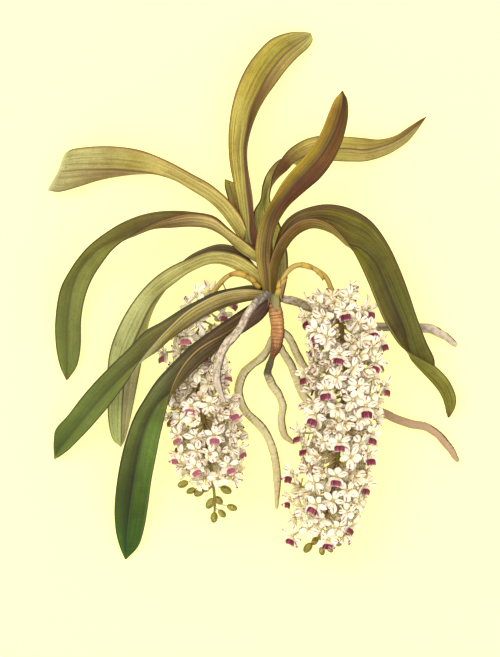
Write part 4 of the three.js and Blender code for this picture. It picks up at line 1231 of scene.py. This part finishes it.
# Racemes. Lips, gaps (where the stalk shows between flowers) and buds are pixels of the photograph.
RACEMES = [
    {
        "side": "right",
        "stalk": """
            18.5 0.5 38 1.9, 21.5 8.5 39.5 2, 26 17 40.5 2, 32.5 22 40.5 2, 40.5 22.3 39.5 2,
            48 19 37.5 2, 55.5 13 35 2, 59.5 4 33 2, 63 -5 31.5 2, 66 -17 31 2, 67.5 -30 30.5 2,
            69 -45 30.5 2, 69.5 -60 30.5 1.9, 68.5 -78 30 1.9, 67 -97 29.5 1.8, 64.5 -119.5 28.5 1.7,
            61 -142 27 1.5, 56.5 -159.5 25 1.3, 52.5 -172 22 1.1, 50.5 -183 18 0.9
        """,
        "foot_scales": "1 7 20 80, 5 12 -50 70, 9 16 60 75",
        "first_flowers": (62.5, -4),
        "reach": [23, 27, 30, 31, 31, 31, 31, 30.5, 30, 29.5, 29, 29, 29, 28],
        "faded": 0.0,
        "lip_size": 1.0,
        "open_tiers": 13.5,
        "lips": """
            372 313, 344 316, 306 323, 370 335, 316 337, 381 348, 339 361, 375 368, 304 380, 385 391,
            325 394, 364 411, 315 420, 299 440, 371 438, 338 445, 305 452, 367 459, 292 478, 335 479,
            364 489, 289 505, 315 506, 351 527, 329 535, 293 535
        """,
        "gaps": "343 334, 344 373, 343 397, 337 458, 332 490",
        "buds": ["308 548, 337 543, 322 551, 345 537, 315 541, 330 549"],
    },
    {
        "side": "left",
        "stalk": """
            6.5 5.5 30.5 1.8, -1 12 31 1.9, -8.5 16 30.5 1.9, -16 15.5 29.5 1.9, -23 10 28 1.9,
            -30 0 26 1.9, -35 -12.5 25 1.8, -39 -26 24.5 1.8, -41 -41 25 1.8, -41 -60 25.5 1.8,
            -39 -78.5 26 1.7, -36 -93.5 26 1.7, -33 -112 25.5 1.6, -30.5 -131 24 1.4,
            -28.5 -147.5 20.5 1.2, -28 -159.5 16.5 1, -28.8 -166.5 13.5 0.8
        """,
        "foot_scales": "0.5 8 -30 80, 6 14 40 75",
        "first_flowers": (-29, 1),
        "reach": [16, 19, 20, 22, 24, 26, 28, 29, 30, 29, 28, 26],
        "faded": 0.34,
        "lip_size": 0.86,
        "open_tiers": 11.0,
        "lips": """
            186 343, 222 318, 233 306, 163 358, 220 348, 204 360, 226 380, 193 411, 171 424, 232 417,
            215 440, 178 442, 241 455, 178 461, 229 467, 196 469
        """,
        "gaps": "204 420, 212 469, 200 389",
        "buds": [
            "191 491, 199 493, 236 480, 183 484, 226 490, 207 488",
            "219 501, 210 504, 232 508, 214 518, 222 514",
        ],
    },
]
TIER_PITCH = 12.7
FLOWER_DEPTH = 4.5  # from the middle of a flower to the front of its lip
LIP_DROP = 4.8  # from the middle of a flower to the middle of its lip, along the stalk
OUTER_SPACING, INNER_SPACING = 9.8, 10.2  # between the middles of neighbouring flowers
SPARSER_BEHIND = 1.3
INNER_DEPTH = 6.5  # how much closer to the stalk the inner flowers stand
GAP_RADIUS = 5.4
TRIES = 5000


def on_plan(pixels):
    return (pixels - PHOTO_CENTRE) * np.array([PHOTO_PIXEL, -PHOTO_PIXEL])


def reach_at(raceme, distance):
    tiers = np.arange(len(raceme["reach"])) * TIER_PITCH + raceme["start"]
    return float(np.interp(distance, tiers, raceme["reach"])) - FLOWER_DEPTH


def seats_seen(raceme, axis):
    """Distance, angle and reach of each flower whose lip the photograph shows."""
    seats = []
    for spot in on_plan(table(raceme["lips"], 2)):
        along = axis.at(axis.nearest(*spot))[1]
        spot = spot - LIP_DROP * along[:2]
        distance = axis.nearest(*spot)
        centre, _, side, _, _ = axis.at(distance)
        aside = float(np.dot(spot - centre[:2], side[:2]))
        reach = reach_at(raceme, distance)
        angle = math.asin(max(-1.0, min(1.0, aside / reach)))
        seats.append((distance, angle, max(reach, abs(aside))))
    return seats


def seats_between(raceme, seats, spacing, depth):
    """Fills the rest of the raceme with flowers at an even spacing."""
    filled = [(distance, angle) for distance, angle, _ in seats]
    first, last = raceme["start"] - 5, raceme["start"] + raceme["open_tiers"] * TIER_PITCH
    added = []
    for _ in range(TRIES):
        distance, angle = draw.uniform(first, last), draw.uniform(-math.pi, math.pi)
        reach = reach_at(raceme, distance) - depth
        round_by = 0.85 * reach
        apart = spacing if math.cos(angle) > -0.4 else SPARSER_BEHIND * spacing
        if all(
            math.hypot(distance - d, round_by * math.remainder(angle - a, 2 * math.pi)) > apart
            for d, a in filled
        ):
            filled.append((distance, angle))
            added.append((distance, angle, reach - draw.uniform(0, 3.5)))
    return added


def hides_stalk(raceme, axis, seat):
    """Whether a flower would cover a spot where the photograph shows the stalk."""
    distance, angle, reach = seat
    if math.cos(angle) < 0:
        return False
    centre, _, side, up, _ = axis.at(distance)
    middle = centre + reach * (math.cos(angle) * up + math.sin(angle) * side)
    gaps = on_plan(table(raceme["gaps"], 2))
    return bool((np.linalg.norm(middle[:2] - gaps, axis=1) < GAP_RADIUS).any())


def add_stalk(raceme, axis):
    """The bare stalk, with small scales that clasp its foot."""
    side = raceme["side"]
    radius = axis.radius * (1 + wander(len(axis.path), 5, 0.04))
    path, radius = rounded_ends(axis.path, radius, 0, 1.3)
    shape = Shape()
    ribs = 0.03 * np.sin(5 * 2 * math.pi * np.arange(STALK_SIDES) / STALK_SIDES)
    rings, marks = tube(path, radius, STALK_SIDES, ribs[None])
    # Painted shade: the stalk's flanks, where the surface turns from upward to sideways, are painted
    # darker
    flank = np.linalg.norm(unit(rings - path[:, None])[..., :2], axis=-1)
    marks[..., 3] = 0.8 * smooth(flank, 0.72, 0.99)
    shape.skin(rings, marks)
    for scale in table(raceme["foot_scales"], 4):
        shape.skin(*wrapped_scale(axis, *scale, flare=0.7), slot=1)
    make_piece(f"stalk_{side}", shape, [stalk_finish, scale_finish], f"raceme_{side}_stalk")


def bud_parts(axis, spot, size):
    """A ribbed bud on a short pedicel."""
    centre, along, _, _, _ = axis.at(axis.nearest(*spot) - 5)
    middle = np.array([*spot, max(5.0, centre[2] + draw.uniform(-2, 7))])
    way = unit(middle - centre)
    turn = np.stack([unit(np.cross(way, UP + 0.01)), np.zeros(3), way])
    turn[1] = np.cross(way, turn[0])
    half_axes = (1.9 * size, 1.9 * size, 2.9 * size)
    rings, marks = bead((0, 0, 0), half_axes, 8, 12, None, None, draw.random())
    pedicel = bent_tube(centre, unit(way + along), middle - way * 2.2 * size, way, 0.5, 0.6)
    return as_arrays((rings @ turn + middle, marks), BUD), pedicel


def add_raceme(raceme):
    side = raceme["side"]
    axis = Axis(raceme["stalk"])
    add_stalk(raceme, axis)
    raceme["start"] = axis.nearest(*raceme["first_flowers"])
    tiers = [Shape() for _ in raceme["reach"]]
    seen = seats_seen(raceme, axis)
    outer = seats_between(raceme, seen, OUTER_SPACING, 0.0)
    inner = seats_between(raceme, [], INNER_SPACING, INNER_DEPTH)
    last = raceme["start"] + (len(tiers) - 1) * TIER_PITCH
    for seat in seen + outer + inner:
        distance, angle, _ = seat
        towards_tip = float(smooth(distance, last - 40, last + 5))
        if seat in seen:
            template = draw.choice(BRIGHT)
        elif math.cos(angle) > -0.1:
            template = draw.choice(draw.choice([PLAIN, PLAIN, CLOSING, HALF_OPEN]))
        else:
            template = draw.choice(draw.choice([BRIGHT, PLAIN, CLOSING]))
        if seat not in seen and hides_stalk(raceme, axis, seat):
            continue
        spread, widening = (0.3, raceme["lip_size"]) if seat in seen else (1.0, 1.0)
        parts = flower_parts(
            axis,
            template,
            seat,
            lean=0.3 + 0.25 * towards_tip,
            tilt=math.radians(6 + 20 * towards_tip + spread * draw.uniform(-30, 26)),
            roll=math.radians(spread * draw.uniform(-65, 65)),
            lift=0.75 if seat in seen else draw.uniform(-0.1, 0.35),
            size=draw.uniform(0.94, 1.08) * (1 - 0.1 * towards_tip) * widening,
        )
        if parts is None:
            continue
        tier = int(np.clip(round((distance - raceme["start"]) / TIER_PITCH), 0, len(tiers) - 1))
        for points, marks, faces, slots in parts:
            marks = marks.copy()
            marks[np.unique(faces[slots == LIP]), 3] = raceme["faded"]
            tiers[tier].add(points, marks, faces, slots)
    for number, shape in enumerate(tiers, 1):
        node = f"raceme_{side}_flowers_{number:02d}"
        make_piece(f"flowers_{side}_{number:02d}", shape, flower_finishes, node)
    for number, cluster in enumerate(raceme["buds"], 1):
        shape = Shape()
        for spot in on_plan(table(cluster, 2)):
            for points, *rest in bud_parts(axis, spot, draw.uniform(1.25, 1.7)):
                shape.add(laid_down(points), *rest)
        make_piece(f"buds_{side}_{number}", shape, flower_finishes, f"raceme_{side}_buds_{number}")


def add_bract(name, node, raceme, *scale):
    shape = Shape()
    shape.skin(*wrapped_scale(Axis(raceme["stalk"]), *scale))
    make_piece(name, shape, [scale_finish], node)


flower_finishes = [tepal_look(), lip_look(), column_look(), pedicel_look(), bud_look()]
stalk_finish, scale_finish = stalk_look(), scale_look()
for raceme in RACEMES:
    add_raceme(raceme)
add_bract("bract_arch_upper", "bract_right_upper", RACEMES[0], 31, 40, 20, 85, 0.6)
add_bract("bract_arch_lower", "bract_right_lower", RACEMES[0], 45, 53, 60, 80, 1.4)
add_bract("bract_left_papery", "bract_left", RACEMES[1], 14, 27, 0, 95, 0.9)


# Studio: a plain pale surface, a soft sky and one large soft light from the upper left
def add_floor():
    half = 3.0
    mesh = bpy.data.meshes.new("floor_pale")
    corners = [(-half, -half, 0), (half, -half, 0), (half, half, 0), (-half, half, 0)]
    mesh.from_pydata(corners, [], [(0, 1, 2, 3)])
    mesh.materials.append(floor_look())
    floor = bpy.data.objects.new("floor_pale", mesh)
    bpy.context.scene.collection.objects.link(floor)


def add_light(name, place, target, size, power, colour):
    data = bpy.data.lights.new(name, "AREA")
    data.shape, data.size = "DISK", size
    data.energy, data.color = power, colour
    light = bpy.data.objects.new(name, data)
    bpy.context.scene.collection.objects.link(light)
    light.location = place
    light.rotation_mode = "QUATERNION"
    light.rotation_quaternion = (Vector(target) - Vector(place)).to_track_quat("-Z", "Y")


add_floor()
add_light("light_key", (-1.2, 1.0, 2.0), (0, 0, 0), 1.6, 36.5, (1.0, 0.97, 0.86))
add_light("light_fill", (1.4, -1.2, 1.9), (0, 0, 0), 1.8, 15.0, (0.98, 0.99, 1.0))
world = bpy.data.worlds.new("soft_sky")
world.use_nodes = True
sky = world.node_tree.nodes["Background"]
sky.inputs["Color"].default_value = (0.98, 0.955, 1.1, 1.0)
sky.inputs["Strength"].default_value = 1.39
bpy.context.scene.world = world
bpy.context.scene.view_settings.view_transform = "Standard"
